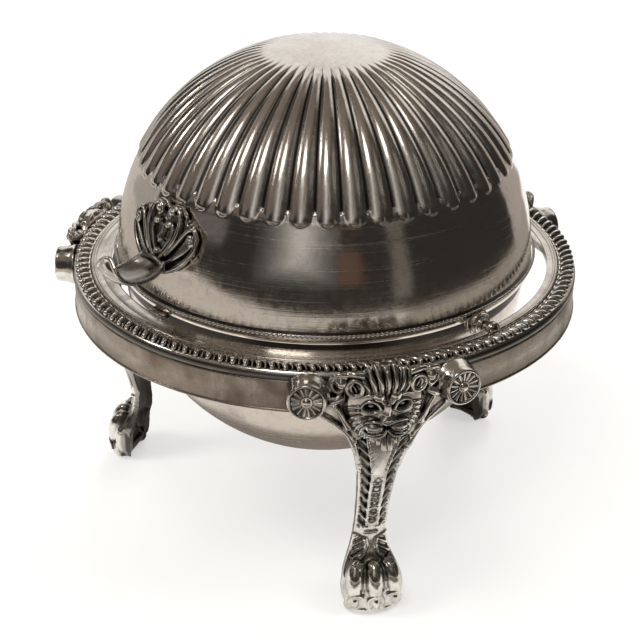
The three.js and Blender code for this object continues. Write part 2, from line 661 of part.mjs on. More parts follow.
add('ring_band', makeBand(), materials.band());
add('gadroon_border', makeBorder(), materials.border());
add('shelf', makeShelf(), materials.bright());
makePivots(1, 'right');
makePivots(-1, 'left');
add('bowl', makeBowl(), materials.band());
add('liner', makeLiner(), materials.glass());
add('dome_shell', makeDome(), materials.bright());
add('dome_bead', makeBead(), materials.border());
add('handle', makeHandle(), materials.cast());

const legNames = ['leg_front_right', 'leg_back', 'leg_front_left'];
const leg = makeLeg();
legAngles().forEach((angle, i) => add(legNames[i], turnedAbout(leg, angle), materials.cast()));
const rivet = makeRivet();
rivetAngles().forEach((angle, i) => add(`leg_rivet_${i + 1}`, turnedAbout(rivet, angle), materials.fixing()));

export default dish;
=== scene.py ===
from math import cos, pi, radians, sin, sqrt

import bmesh
import bpy
import numpy as np
from mathutils import Matrix, Vector


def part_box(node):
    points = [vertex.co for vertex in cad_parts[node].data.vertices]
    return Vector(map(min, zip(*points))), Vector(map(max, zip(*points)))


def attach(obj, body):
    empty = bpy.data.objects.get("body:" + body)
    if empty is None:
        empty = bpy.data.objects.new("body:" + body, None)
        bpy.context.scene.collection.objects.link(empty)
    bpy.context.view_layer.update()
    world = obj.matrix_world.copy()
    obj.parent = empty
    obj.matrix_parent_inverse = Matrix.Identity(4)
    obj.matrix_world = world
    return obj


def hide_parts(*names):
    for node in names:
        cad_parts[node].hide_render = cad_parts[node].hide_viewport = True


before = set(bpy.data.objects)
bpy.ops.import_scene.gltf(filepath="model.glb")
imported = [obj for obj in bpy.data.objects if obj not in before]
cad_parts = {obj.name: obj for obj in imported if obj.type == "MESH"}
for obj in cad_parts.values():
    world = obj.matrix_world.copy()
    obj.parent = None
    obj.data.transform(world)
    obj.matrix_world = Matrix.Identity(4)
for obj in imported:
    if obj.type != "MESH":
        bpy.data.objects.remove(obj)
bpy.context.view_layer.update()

# Sizes in millimetres, the same as in the solids where the photograph doesn't ask for less.
MM = 0.001
RING_RADIUS = 88.0
BAND_FOOT = 81.0
SHOULDER_FOOT = 92.1
FLANGE_TOP = 93.75
FLANGE_INNER = 79.6
BORDER_BASE = 94.0
BORDER_OUTER = 87.5
BORDER_INNER = 82.1
MOULDING_OUTER = 81.85
MOULDING_INNER = 80.15
SHELF_FLAT = 95.4
SHELF_RISE = 1.05
SLIT_RADIUS = 74.8
REAR_RADIUS = 78.1
DOME_RADIUS = 72.3
DOME_WALL = 0.9
DOME_Z = 100.0
COLLAR_Z = 96.8
COLLAR_RADIUS = 72.6
PIVOT_Z = 96.2
PIN_RADIUS = 1.38
TIGHT_HOLE = 1.62
FREE_HOLE = 1.65
BOWL_RADIUS = 70.3
BOWL_WALL = 0.9
BOWL_RIM = 100.6
LOBES = 46
LOBE_PHASE = 48.9
LOBE_START = 27.6
LOBE_END = 76.0
# Radius of a lobe's round back, as a share of its half width.
LOBE_ROUND = 1.38
GADROONS = 128
MILLED_BEADS = 300
LEG_ANGLES = {"leg_front_right": 60, "leg_back": 180, "leg_front_left": 300}
ROUNDEL_ANGLE = 15.3
ROUNDEL_Z = 88.5
ROUNDEL_FACE = 95.4
PETALS = 15
# Radius of the circle that widths on a leg are measured along.
LEG_BEND = 90.0
# Height, front's distance from the axis, depth, width and hollow of the back, from the sole up.
LEG_STATIONS = [
    (0.0, 83.0, 7.0, 16.6, 1.7), (2.5, 84.6, 8.2, 21.2, 2.5), (9.1, 84.2, 8.6, 23.0, 3.4),
    (13.2, 82.0, 7.6, 22.5, 3.4), (16.5, 78.6, 5.8, 19.8, 2.4), (21.4, 76.5, 4.6, 16.1, 1.7),
    (28.0, 76.4, 4.6, 13.1, 1.7), (37.9, 79.0, 4.6, 12.6, 1.7), (49.4, 83.0, 4.8, 13.4, 1.7),
    (61.0, 87.2, 5.3, 15.1, 1.7), (70.9, 90.4, 6.0, 19.2, 1.7), (79.9, 92.0, 6.4, 23.4, 0.0),
    (85.7, 92.2, 3.4, 25.2, 0.0),
]
# Height up a leg, and how far its flat back stands from the axis there.
BACK_HEIGHTS = [0, 2.5, 9, 13, 16.5, 21.4, 28, 34]
BACK_REACHES = [75.4, 75.8, 75.6, 74.8, 73.2, 72.1, 71.9, 60]
BACK_AT_RING = 88.7

# Heights in millimetres between which a finish changes; under the lobes' feet it is painted shade.
PRESSED_PART = (136.0, 180.0)
FLUTE_LINES = (137.5, 168.5)
LOBE_FEET = (130.5, 140.0)

CENTRE = Vector((0, 0, 0))
UPRIGHT = Vector((0, 0, 1))
HANDS = (-1, 1)


def smoothstep(value, low, high):
    share = np.clip((value - low) / (high - low), 0, 1)
    return share * share * (3 - 2 * share)


def turned_by(degrees, axis, size=3):
    return Matrix.Rotation(radians(degrees), size, axis)


def at(azimuth, distance, height):
    """A place at an azimuth in degrees from the handle's side, round the dish's axis."""
    a = radians(azimuth)
    return Vector((distance * sin(a), -distance * cos(a), height))


# ---- meshes


def placed(name, data):
    made = bpy.data.objects.new(name, data)
    bpy.context.scene.collection.objects.link(made)
    return made


def as_mesh(bm, name="blank"):
    """A mesh of what a bmesh holds, which is given up for it."""
    mesh = bpy.data.meshes.new(name)
    bm.to_mesh(mesh)
    bm.free()
    return mesh


def with_mesh(bm, mesh):
    """A bmesh with a mesh added, which is given up for it."""
    bm.from_mesh(mesh)
    bpy.data.meshes.remove(mesh)
    return bm


def places_and_normals(mesh):
    """Two tables with a row for each point of a mesh."""
    tables = []
    for values, field in ((mesh.vertices, "co"), (mesh.vertex_normals, "vector")):
        table = np.empty(len(values) * 3)
        values.foreach_get(field, table)
        tables.append(table.reshape(-1, 3))
    return tables


def reshaped(bm, shift_at):
    """Moves each point by what shift_at says for all places and normals."""
    mesh = as_mesh(bm)
    places, normals = places_and_normals(mesh)
    places += shift_at(places, normals)
    mesh.vertices.foreach_set("co", places.ravel())
    return with_mesh(bmesh.new(), mesh)


def modified(bm, kind, **settings):
    """The mesh that one modifier makes."""
    blank = placed("blank", as_mesh(bm))
    modifier = blank.modifiers.new("work", kind)
    for key, value in settings.items():
        setattr(modifier, key, value)
    shown = blank.evaluated_get(bpy.context.evaluated_depsgraph_get())
    mesh = bpy.data.meshes.new_from_object(shown)
    bpy.data.objects.remove(blank)
    return mesh


def cut(bm, cutters):
    """Cuts closed shapes out of a mesh in millimetres."""
    tool = placed("tool", as_mesh(cutters))
    mesh = modified(bm, "BOOLEAN", operation="DIFFERENCE", solver="MANIFOLD", object=tool)
    bpy.data.objects.remove(tool)
    return mesh


def cast_in_one(bm, voxel):
    """Melts overlapping closed shapes into one casting."""
    bmesh.ops.recalc_face_normals(bm, faces=bm.faces)
    bm = with_mesh(bmesh.new(), modified(bm, "REMESH", mode="VOXEL", voxel_size=voxel))
    bmesh.ops.smooth_vert(bm, verts=bm.verts, factor=0.5, use_axis_x=True, use_axis_y=True, use_axis_z=True)
    return bm


def edges_of(verts):
    return list({edge for vert in verts for edge in vert.link_edges})


def bevelled(bm, edges, offset):
    """Rounds edges, and gives the points that belong to them afterwards."""
    return bmesh.ops.bevel(
        bm, geom=edges, offset=offset, segments=2, profile=0.5, affect="EDGES", material=-1
    )["verts"]


def drawn_out(bm, grown, vec):
    """Moves the new points of an extrusion."""
    moved = [item for item in grown["geom"] if isinstance(item, bmesh.types.BMVert)]
    bmesh.ops.translate(bm, vec=vec, verts=moved)


def repeated_round(bm, verts, count):
    """Repeats a shape evenly round the dish's axis."""
    shape = verts + edges_of(verts) + list({face for vert in verts for face in vert.link_faces})
    part_turn = 2 * pi * (1 - 1 / count)
    bmesh.ops.spin(
        bm, geom=shape, cent=CENTRE, axis=UPRIGHT, angle=part_turn, steps=count - 1, use_duplicate=True
    )


def clean(bm):
    bmesh.ops.remove_doubles(bm, verts=bm.verts, dist=1e-3)
    bmesh.ops.recalc_face_normals(bm, faces=bm.faces)
    return bm


def spun(points, steps, axis=UPRIGHT, centre=CENTRE, closed=True):
    """Spins a line of points once round an axis, and closes the line first if it doesn't end on the axis."""
    bm = bmesh.new()
    verts = [bm.verts.new(point) for point in points]
    pairs = list(zip(verts, verts[1:]))
    if closed:
        pairs.append((verts[-1], verts[0]))
    line = verts + [bm.edges.new(pair) for pair in pairs]
    bmesh.ops.spin(bm, geom=line, cent=centre, axis=axis, angle=2 * pi, steps=steps, use_merge=True)
    return clean(bm)


def upright(profile):
    """Profile points of (radius, height) as places in front of the dish's axis."""
    return [(0, -radius, height) for radius, height in profile]


def arc(centre, radius, angles):
    """Points at angles in degrees round a centre in the profile's plane."""
    return [(centre[0] + radius * cos(a), centre[1] + radius * sin(a)) for a in map(radians, angles)]


def softened(profile, radius):
    """Rounds each corner of a closed profile a little."""
    rounded = []
    for i, corner in enumerate(profile):
        here = Vector(corner)
        before = Vector(profile[i - 1])
        after = Vector(profile[(i + 1) % len(profile)])
        reach = min(radius, (before - here).length * 0.45, (after - here).length * 0.45)
        start = here + (before - here).normalized() * reach
        end = here + (after - here).normalized() * reach
        rounded += [tuple(start.lerp(here, t).lerp(here.lerp(end, t), t)) for t in (0, 0.5, 1)]
    return rounded


def settle(name, mesh, finish, body, nodes, crease):
    """Brings a mesh in millimetres to metres and makes it a finished piece that stands for CAD nodes."""
    if isinstance(mesh, bmesh.types.BMesh):
        mesh = as_mesh(mesh, name)
    mesh.transform(Matrix.Scale(MM, 4))
    mesh.polygons.foreach_set("use_smooth", [True] * len(mesh.polygons))
    mesh.set_sharp_from_angle(angle=radians(crease))
    mesh.materials.clear()
    mesh.materials.append(finish[0])
    mesh.update()
    piece = placed(name, mesh)
    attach(piece, body)
    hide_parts(*nodes)


# ---- finishes


def new_finish(name):
    finish = bpy.data.materials.new(name)
    finish.use_nodes = True
    return finish, finish.node_tree, finish.node_tree.nodes["Principled BSDF"]


def feed(tree, node, inputs):
    """Sets each input to a value, or links it to another node's output."""
    for key, value in inputs.items():
        if isinstance(value, bpy.types.NodeSocket):
            tree.links.new(value, node.inputs[key])
        else:
            node.inputs[key].default_value = value


def add(tree, kind, inputs, **settings):
    """A new node with its settings and inputs; gives its outputs."""
    made = tree.nodes.new("ShaderNode" + kind)
    for key, value in settings.items():
        setattr(made, key, value)
    feed(tree, made, inputs)
    return made.outputs


def noise(tree, where, scale, detail, rough, distort=0.0):
    inputs = {"Vector": where, "Scale": scale, "Detail": detail, "Roughness": rough, "Distortion": distort}
    return add(tree, "TexNoise", inputs)["Fac"]


def ranged(tree, value, low, high, to_low, to_high):
    inputs = {"Value": value, "From Min": low, "From Max": high, "To Min": to_low, "To Max": to_high}
    return add(tree, "MapRange", inputs)["Result"]


def mixed(tree, share, first, second):
    return add(tree, "Mix", {"Factor": share, 6: first, 7: second}, data_type="RGBA")[2]


def calc(tree, way, first, second=0.0):
    return add(tree, "Math", {0: first, 1: second}, operation=way)[0]


def times(tree, first, second):
    return calc(tree, "MULTIPLY", first, second)


def plus(tree, first, second):
    return calc(tree, "ADD", first, second)


def separate(tree, vector):
    return add(tree, "SeparateXYZ", {0: vector})


def height_band(tree, where, low, high):
    """One between two heights in millimetres, with a soft edge."""
    z = separate(tree, where)["Z"]
    over = ranged(tree, z, (low - 0.15) * MM, (low + 0.15) * MM, 0.0, 1.0)
    under = ranged(tree, z, (high - 0.15) * MM, (high + 0.15) * MM, 1.0, 0.0)
    return times(tree, over, under)


def lobe_tarnish_and_shade(tree, places):
    """One where black is laid on the dome: tarnish and painted shade in the lines between the lobes, and painted
    shade under their ends.
    """
    where = separate(tree, places["Object"])
    turn = calc(tree, "ARCTAN2", where["X"], times(tree, where["Y"], -1.0))
    place = plus(tree, times(tree, turn, LOBES / (2 * pi)), 0.5 - LOBE_PHASE * LOBES / 360)
    share = calc(tree, "ABSOLUTE", calc(tree, "SUBTRACT", calc(tree, "FRACT", place), 0.5))
    line = ranged(tree, share, 0.36, 0.46, 0.0, 0.94)
    line = times(tree, line, height_band(tree, places["Object"], *FLUTE_LINES))
    # Painted shade where the skin faces down, under the lobes' ends.
    under = ranged(tree, separate(tree, places["Normal"])["Z"], -0.10, 0.12, 0.93, 0.0)
    under = times(tree, under, height_band(tree, places["Object"], *LOBE_FEET))
    return calc(tree, "MAXIMUM", line, under)


def brushed(tree, shader, where, strength):
    """Highlights drawn out across the fine lines that turning leaves round the upright axis."""
    around = add(tree, "VectorMath", {0: UPRIGHT, 1: where}, operation="CROSS_PRODUCT")
    turn = add(
        tree, "VectorTransform", {0: around[0]}, vector_type="VECTOR", convert_from="OBJECT", convert_to="WORLD"
    )
    straight = add(tree, "VectorMath", {0: turn[0]}, operation="NORMALIZE")
    feed(tree, shader, {"Tangent": straight[0], "Anisotropic": strength, "Anisotropic Rotation": 0.25})


def silver_plate(
    name, slot, bright, brown, patina, polish, crevice, turned=0.0, cast_skin=0.0, blotch=45, specks=0.5,
    painted_shade_band=None, hollow=False, fluted=False,
):
    """Silver plate with brown tarnish in blotches, black tarnish left in the recesses, painted shade where asked, and
    fine wear.
    """
    finish, tree, shader = new_finish(name)
    places = add(tree, "TexCoord", {})
    where = places["Object"]
    stain = ranged(tree, noise(tree, where, blotch, 7, 0.62, 0.6), 0.44, 0.66, 0.0, patina)
    colour = mixed(tree, stain, (*bright, 1), (*brown, 1))
    mottle = noise(tree, where, 420, 5, 0.7, 0.3)
    colour = mixed(tree, ranged(tree, mottle, 0.5, 0.72, 0.0, 0.35 * specks), colour, SPECK_BROWN)
    pits = noise(tree, where, 1500, 3, 0.6)
    colour = mixed(tree, ranged(tree, pits, 0.66, 0.74, 0.0, specks), colour, PIT_BROWN)

    corner = add(tree, "AmbientOcclusion", {"Distance": crevice * MM}, samples=8, only_local=True)
    black = ranged(tree, corner["AO"], 0.42, 0.95 if fluted else 0.90, 1.0, 0.0)
    # Painted shade laid in the same black: a band of heights, a leg's inner side, and the dome's lobes.
    darker = []
    if painted_shade_band:
        low, high, depth = painted_shade_band
        darker.append(times(tree, height_band(tree, where, low, high), depth))
    # A leg's inner side, facing the axis under the dish, gets painted shade with the black of its unpolished back.
    if hollow:
        inner_side_shade = add(tree, "Attribute", {}, attribute_name="inner_side_shade")
        darker.append(times(tree, inner_side_shade["Fac"], 0.9))
    if fluted:
        darker.append(lobe_tarnish_and_shade(tree, places))
    for share in darker:
        black = calc(tree, "MAXIMUM", black, share)
    feed(tree, shader, {"Metallic": 1.0, "Base Color": mixed(tree, black, colour, TARNISH_AND_SHADE_BLACK)})

    haze = ranged(tree, mottle, 0.35, 0.7, polish, polish + 0.10)
    haze = plus(tree, haze, times(tree, stain, 0.14))
    haze = plus(tree, haze, times(tree, black, 0.2))
    height = times(tree, mottle, 0.25 + cast_skin)
    if turned:
        brushed(tree, shader, where, turned)
        along = add(tree, "Mapping", {"Scale": TURNING_LINES, "Vector": where})
        lines = noise(tree, along["Vector"], 1.0, 3, 0.6)
        if fluted:
            # The pressed lobes are rougher than the plain part and have no turning lines.
            pressed = height_band(tree, where, *PRESSED_PART)
            plain_part = calc(tree, "SUBTRACT", 1.0, pressed)
            lines = times(tree, lines, plain_part)
            haze = plus(tree, haze, times(tree, pressed, 0.065))
            feed(tree, shader, {"Anisotropic": times(tree, plain_part, turned)})
        height = plus(tree, height, times(tree, lines, 0.3))
        haze = plus(tree, haze, ranged(tree, lines, 0.55, 0.72, 0.0, 0.16))
    height = plus(tree, height, times(tree, noise(tree, where, 70, 2, 0.5), 2.2))
    bump = add(tree, "Bump", {"Strength": 0.35, "Distance": 0.00012, "Height": height})
    feed(tree, shader, {"Roughness": haze, "Normal": bump["Normal"]})
    return finish, slot


def clear_glass():
    finish, tree, shader = new_finish("liner glass")
    film = noise(tree, add(tree, "TexCoord", {})["Object"], 220, 3, 0.55)
    feed(tree, shader, {"Roughness": ranged(tree, film, 0.4, 0.8, 0.01, 0.07)})
    feed(tree, shader, {"Transmission Weight": 1.0, "IOR": 1.5, "Base Color": (0.93, 0.97, 0.96, 1)})
    return finish, "liner_glass"


BROWN = (0.235, 0.185, 0.145)
DEEP_BROWN = (0.13, 0.105, 0.085)
SPECK_BROWN = (0.30, 0.25, 0.20, 1)
PIT_BROWN = (0.09, 0.075, 0.06, 1)
# Black of tarnish in the recesses, also the colour of painted shade.
TARNISH_AND_SHADE_BLACK = (0.016, 0.013, 0.011, 1)
TURNING_LINES = (14, 14, 2400)
ring_silver = silver_plate(
    "ring silver", "plate_band", (0.45, 0.395, 0.34), (0.22, 0.17, 0.13), 0.9, 0.22, 1.2, 0.6, 0.3, 48, 1.0
)
shelf_silver = silver_plate(
    "shelf silver", "plate_bright", (0.70, 0.65, 0.59), BROWN, 0.6, 0.13, 1.6, 0.85, blotch=50
)
# The dome gets painted shade in a band round the milled bead, and in and under its lobes.
dome_silver = silver_plate(
    "dome silver", "plate_bright", (0.76, 0.715, 0.66), (0.27, 0.22, 0.18), 0.28, 0.075, 3.2, 0.5, 0.15, 34,
    painted_shade_band=(DOME_Z - 1.0, DOME_Z + 1.15, 0.9), fluted=True,
)
# The bowl's top, under the shelf, gets painted shade.
bowl_silver = silver_plate(
    "bowl silver", "plate_band", (0.64, 0.56, 0.48), BROWN, 0.5, 0.13, 1.2, 0.6, blotch=30,
    painted_shade_band=(91.5, 101.5, 0.9),
)
# The legs get painted shade on their inner sides.
cast_silver = silver_plate(
    "cast silver", "plate_cast", (0.80, 0.76, 0.70), DEEP_BROWN, 0.55, 0.12, 2.8, 0, 0.5, 90, hollow=True
)
# The smooth shoulder gets a painted dark reflection.
border_silver = silver_plate(
    "border silver", "plate_cast", (0.90, 0.86, 0.80), DEEP_BROWN, 0.3, 0.10, 1.5, 0, 0.3, 60,
    painted_shade_band=(SHOULDER_FOOT - 0.5, 94.3, 0.8),
)
bead_silver = silver_plate("bead silver", "plate_cast", (0.88, 0.84, 0.78), DEEP_BROWN, 0.1, 0.10, 1.1, 0, 0.2, 60)
# The handle's lower part and thumb tab get a painted dark reflection.
handle_silver = silver_plate(
    "handle silver", "plate_cast", (0.84, 0.80, 0.74), DEEP_BROWN, 0.5, 0.08, 2.4, 0, 0.4, 80,
    painted_shade_band=(110.0, 117.0, 0.55),
)
pivot_silver = silver_plate(
    "pivot silver", "plate_fixing", (0.78, 0.74, 0.69), BROWN, 0.15, 0.10, 0.5, 0, 0.1, 120, 0.2
)
glass = clear_glass()


# ---- ring, border and shelf


def shifted(profile, radius, height):
    """A profile shifted out and up."""
    return [(r + radius, z + height) for r, z in profile]


def ring_band():
    inner = RING_RADIUS - 1.1
    under = inner - 0.9
    roll = [(0, -0.1), (0.3, 0.15), (0.3, 0.6), (-0.05, 0.85), (-0.12, 5.0)]
    neck = [(-0.1, -0.6), (-0.35, -0.25), (-1.7, -0.25)]
    profile = [(inner, BAND_FOOT + 0.4), (inner + 0.4, BAND_FOOT)]
    profile += shifted(roll, RING_RADIUS, BAND_FOOT) + shifted(neck, RING_RADIUS, SHOULDER_FOOT)
    profile += [(RING_RADIUS - 1.7, FLANGE_TOP), (FLANGE_INNER, FLANGE_TOP), (FLANGE_INNER, FLANGE_TOP - 1.1)]
    profile += [(under, FLANGE_TOP - 1.1), (under, SHOULDER_FOOT - 1.1), (inner, SHOULDER_FOOT - 1.6)]
    bm = spun(upright(softened(profile, 0.25)), 256)
    settle("ring_band_spun", bm, ring_silver, "stand", ["ring_band"], 30)


def gadroon_border():
    """Slanted S-shaped lobes with a reed between each two, on a bed that slopes to a smooth shoulder outside."""
    shoulder = [(-1.1, 0.1), (0.25, 0), (0.6, 0.45), (0.6, 1.4), (0.25, 2.3), (-0.4, 2.95), (-1.2, 3.1)]
    slope = [(1.0, 1.3), (0.4, 1.6), (0, 1.2)]
    bed = [(BORDER_INNER, BORDER_BASE), (BORDER_OUTER - 1.1, BORDER_BASE)]
    bed += shifted(shoulder, BORDER_OUTER, SHOULDER_FOOT) + [(BORDER_OUTER - 1.9, BORDER_BASE + 0.75)]
    bed += shifted(slope, BORDER_INNER, BORDER_BASE)
    bm = spun(upright(softened(bed, 0.3)), 256)
    middle = (BORDER_OUTER + BORDER_INNER) / 2 - 0.1
    shapes = []
    # Main lobe first, then the thin reed beside it, each as half width, half length, height and place along.
    for half, reach, tall, along in ((1.12, 2.9, 1.75, 0.0), (0.4, 2.3, 1.35, 2.1)):
        lobe = bmesh.ops.create_uvsphere(bm, u_segments=10, v_segments=8, radius=1)["verts"]
        bmesh.ops.rotate(bm, cent=CENTRE, matrix=turned_by(90, "X"), verts=lobe)
        for vert in lobe:
            share = vert.co.y
            swell = 1.0 - 0.22 * share
            slant = -2.0 * share + share**3
            height = BORDER_BASE + 1.2 - 0.65 * share + vert.co.z * tall * (1.0 + 0.08 * share)
            vert.co = (along + vert.co.x * half * swell + slant, -middle + share * reach, height)
        shapes += lobe
    repeated_round(bm, shapes, GADROONS)
    settle("gadroon_border_cast", bm, border_silver, "stand", ["gadroon_border"], 60)


def shelf_top(radius):
    return SHELF_FLAT + SHELF_RISE * (MOULDING_INNER - radius) / (MOULDING_INNER - SLIT_RADIUS)


def shelf():
    """The turned ring with its moulding, the wider ledge on the handle's side, and the rest tab."""
    inner = REAR_RADIUS
    moulding = [(0, 0.2), (-0.25, 0.68), (-0.6, 0.72), (-0.85, 0.35), (-1.1, 0.58), (-1.45, 0.5), (-1.7, 0.05)]
    rear = [(inner, 92.7), (inner + 1.2, 92.7), (inner + 1.2, BORDER_BASE), (MOULDING_OUTER, BORDER_BASE)]
    rear += shifted(moulding, MOULDING_OUTER, SHELF_FLAT) + [(inner + 0.5, shelf_top(inner + 0.5))]
    rear += [(inner + 0.1, shelf_top(inner) - 0.15), (inner, shelf_top(inner) - 0.5)]
    ring = spun(upright(softened(rear, 0.18)), 256)

    outer = inner + 0.6
    slit = SLIT_RADIUS
    wide = [(outer, shelf_top(outer)), (slit + 0.5, shelf_top(slit + 0.5)), (slit + 0.1, shelf_top(slit) - 0.15)]
    wide += [(slit, shelf_top(slit) - 0.5), (slit, FLANGE_TOP), (slit + 1.2, FLANGE_TOP)]
    wide += [(slit + 1.2, shelf_top(slit) - 1.3), (outer, shelf_top(outer) - 1.05)]
    ledge = spun(upright(softened(wide, 0.12)), 256)
    whole = list(ledge.verts) + list(ledge.edges) + list(ledge.faces)
    bmesh.ops.bisect_plane(ledge, geom=whole, plane_co=CENTRE, plane_no=(0, 1, 0), clear_outer=True)
    bmesh.ops.holes_fill(ledge, edges=[edge for edge in ledge.edges if edge.is_boundary], sides=0)
    bmesh.ops.recalc_face_normals(ledge, faces=ledge.faces)

    bm = with_mesh(bmesh.new(), cut(ring, pivot_rods(inner - 1, 82.5, FREE_HOLE, 24)))
    with_mesh(bm, cut(ledge, pivot_rods(71, inner + 0.1, 6.0, 48)))
    tab = bmesh.ops.create_cube(bm, size=1)["verts"]
    bmesh.ops.scale(bm, vec=(8, 3.7, 1.6), verts=tab)
    bmesh.ops.translate(bm, vec=(0, -73.5, 95.75), verts=tab)
    bevelled(bm, edges_of(tab), 0.35)
    settle("shelf_turned", bm, shelf_silver, "stand", ["shelf"], 30)


# ---- pivots


def pivot_rods(near, far, radius, sides=32, which=(1, -1)):
    """Rods on the line of the pivots, between two distances from the middle."""
    bm = bmesh.new()
    for side in which:
        line = Vector((side * (far - near), 0, 0))
        middle = Matrix.Translation((side * (near + far) / 2, 0, PIVOT_Z))
        place = middle @ line.to_track_quat("Z", "Y").to_matrix().to_4x4()
        bmesh.ops.create_cone(
            bm, cap_ends=True, segments=sides, radius1=radius, radius2=radius, depth=far - near, matrix=place
        )
    return bm


def pivot_plate(outline, side, near, thick, edge):
    """An upright plate across the line of the pivots, from its outline of (y, z), with its edges broken."""
    bm = bmesh.new()
    face = bm.faces.new([bm.verts.new((side * near, y, z)) for y, z in outline])
    drawn_out(bm, bmesh.ops.extrude_face_region(bm, geom=[face]), (side * thick, 0, 0))
    bmesh.ops.recalc_face_normals(bm, faces=bm.faces)
    bevelled(bm, [one for one in bm.edges if one.calc_face_angle(0) > 0.9], edge)
    return bm


def turned_on_pin(profile, side, steps=48, closed=True):
    """A piece turned about the line of the pivots, from (distance along X, radius) points."""
    points = [(side * along, 0, PIVOT_Z + radius) for along, radius in profile]
    return spun(points, steps, (1, 0, 0), (0, 0, PIVOT_Z), closed)


def span(name):
    """How near and how far from the middle a pivot's solid reaches, in millimetres."""
    low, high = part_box(name)
    return sorted((abs(low.x) / MM, abs(high.x) / MM))


def pivots(side, word):
    half = 2.6
    top = arc((0, PIVOT_Z), half, range(0, 181, 12))
    lug = pivot_plate([(half, BORDER_BASE)] + top + [(-half, BORDER_BASE)], side, 79.7, 2.0, 0.3)
    lug = cut(lug, pivot_rods(79, 83, TIGHT_HOLE, which=(side,)))
    settle(f"pivot_lug_{word}_filed", lug, border_silver, "stand", [f"pivot_lug_{word}"], 30)

    drum = [
        (74.32, FREE_HOLE), (77.3, FREE_HOLE), (77.38, 2.0), (77.3, 2.35), (76.2, 2.4), (75.8, 2.7), (75.7, 3.6),
        (75.95, 3.85), (75.95, 4.25), (75.6, 4.38), (74.6, 4.38), (74.32, 4.1),
    ]
    bush = turned_on_pin(softened(drum, 0.16), side)
    settle(f"pivot_bush_{word}_turned", bush, pivot_silver, "stand", [f"pivot_bush_{word}"], 30)

    disc = [(70.57, FREE_HOLE), (71.33, FREE_HOLE), (71.33, 3.15), (70.57, 3.15)]
    washer = turned_on_pin(softened(disc, 0.16), side)
    settle(f"pivot_washer_{word}_cut", washer, pivot_silver, "stand", [f"pivot_washer_{word}"], 30)

    near, far = span(f"pivot_nut_{word}")
    nut = pivot_rods(near, far, 3.0, 6, (side,))
    bevelled(nut, list(nut.edges), 0.25)
    nut = cut(nut, pivot_rods(near - 1, far + 1, TIGHT_HOLE, which=(side,)))
    settle(f"pivot_nut_{word}_cut", nut, pivot_silver, "stand", [f"pivot_nut_{word}"], 30)

    near, far = span(f"pivot_pin_{word}")
    line = [(near, 0), (near + 0.1, 0.9), (near + 0.5, PIN_RADIUS), (far - 0.3, PIN_RADIUS), (far, 1.1), (far, 0)]
    pin = turned_on_pin(line, side, 32, closed=False)
    settle(f"pivot_pin_{word}_turned", pin, pivot_silver, "stand", [f"pivot_pin_{word}"], 30)

    half = 4.4
    ear_top = 98.9
    foot = arc((0, PIVOT_Z), half, range(180, 361, 12))
    ear = pivot_plate([(-half, ear_top)] + foot + [(half, ear_top)], side, 72.9, 1.12, 0.25)
    ear = cut(ear, pivot_rods(71, 76, FREE_HOLE, which=(side,)))
    settle(f"dome_ear_{word}_cut", ear, dome_silver, "dome", [f"dome_ear_{word}"], 30)


# ---- bowl and liner


def bowl():
    inside = BOWL_RADIUS - BOWL_WALL
    outer = arc((0, PIVOT_Z), BOWL_RADIUS, range(-87, 1, 3))
    inner = arc((0, PIVOT_Z), inside, range(0, -90, -3))
    line = [(0, PIVOT_Z - BOWL_RADIUS)] + outer
    line += shifted([(0, -0.5), (-0.15, -0.1), (-0.45, 0), (-BOWL_WALL, -0.2)], BOWL_RADIUS, BOWL_RIM)
    line += inner + [(0, PIVOT_Z - inside)]
    bm = spun(upright(line), 192, closed=False)
    settle("bowl_spun", cut(bm, pivot_rods(60, 75, FREE_HOLE)), bowl_silver, "stand", ["bowl"], 30)


def liner():
    rim = BOWL_RIM + 0.3
    floor = 60.9
    wall = [(27.9, floor), (40.5, floor + 4.4), (49.6, 72.0), (55.6, 79.6), (58.9, 86.9), (61.0, 94.0), (62.0, rim)]
    flange = [(69.9, rim), (70.0, rim + 0.9), (69.4, rim + 1.7), (61.0, rim + 1.8), (60.1, rim + 1.2)]
    inside = [(59.0, 95.0), (56.8, 88.2), (53.5, 81.2), (47.6, 74.1), (38.8, 67.2), (27.0, 63.2)]
    line = [(0, floor)] + wall + flange + inside + [(0, floor + 2.2)]
    settle("liner_pressed", spun(upright(line), 144, closed=False), glass, "stand", ["liner"], 35)


# ---- dome


def lobe_offset(azimuth, elevation):
    """How far the dome's skin stands out of its plain sphere, in millimetres."""
    share = ((azimuth - LOBE_PHASE) * LOBES / 360 + 0.5) % 1.0 * 2 - 1
    edge = sqrt(LOBE_ROUND**2 - 1)
    crown = (np.sqrt(LOBE_ROUND**2 - share**2) - edge) / (LOBE_ROUND - edge)
    foot = LOBE_START + 3.4 * (1 - np.sqrt(np.clip(1 - share**2, 0, 1)))
    rise = np.clip((elevation - foot) / 2.6, 0, 1)
    rise = np.sqrt(np.clip(1 - (1 - rise) ** 2, 0, 1))
    fade = 1 - smoothstep(elevation, LOBE_END - 8, LOBE_END)
    narrow = 0.25 + 0.75 * np.cos(np.radians(elevation)) / cos(radians(LOBE_START))
    # The sheet draws in a little just under the lobes' ends.
    drawn_in = 0.32 * np.exp(-(((elevation - LOBE_START + 1.5) / 1.2) ** 2))
    return rise * fade * narrow * (1.75 * crown - 0.85) - drawn_in


def pressed_out(places, _):
    """How each point of the spun dome moves when the lobes are pressed into it."""
    from_centre = places - np.array([0, 0, DOME_Z])
    distance = np.linalg.norm(from_centre, axis=1)
    elevation = np.degrees(np.arcsin(np.clip(from_centre[:, 2] / distance, -1, 1)))
    azimuth = np.degrees(np.arctan2(places[:, 0], -places[:, 1]))
    shift = np.where(elevation > 20, lobe_offset(azimuth, elevation), 0)
    return from_centre / distance[:, None] * shift[:, None]


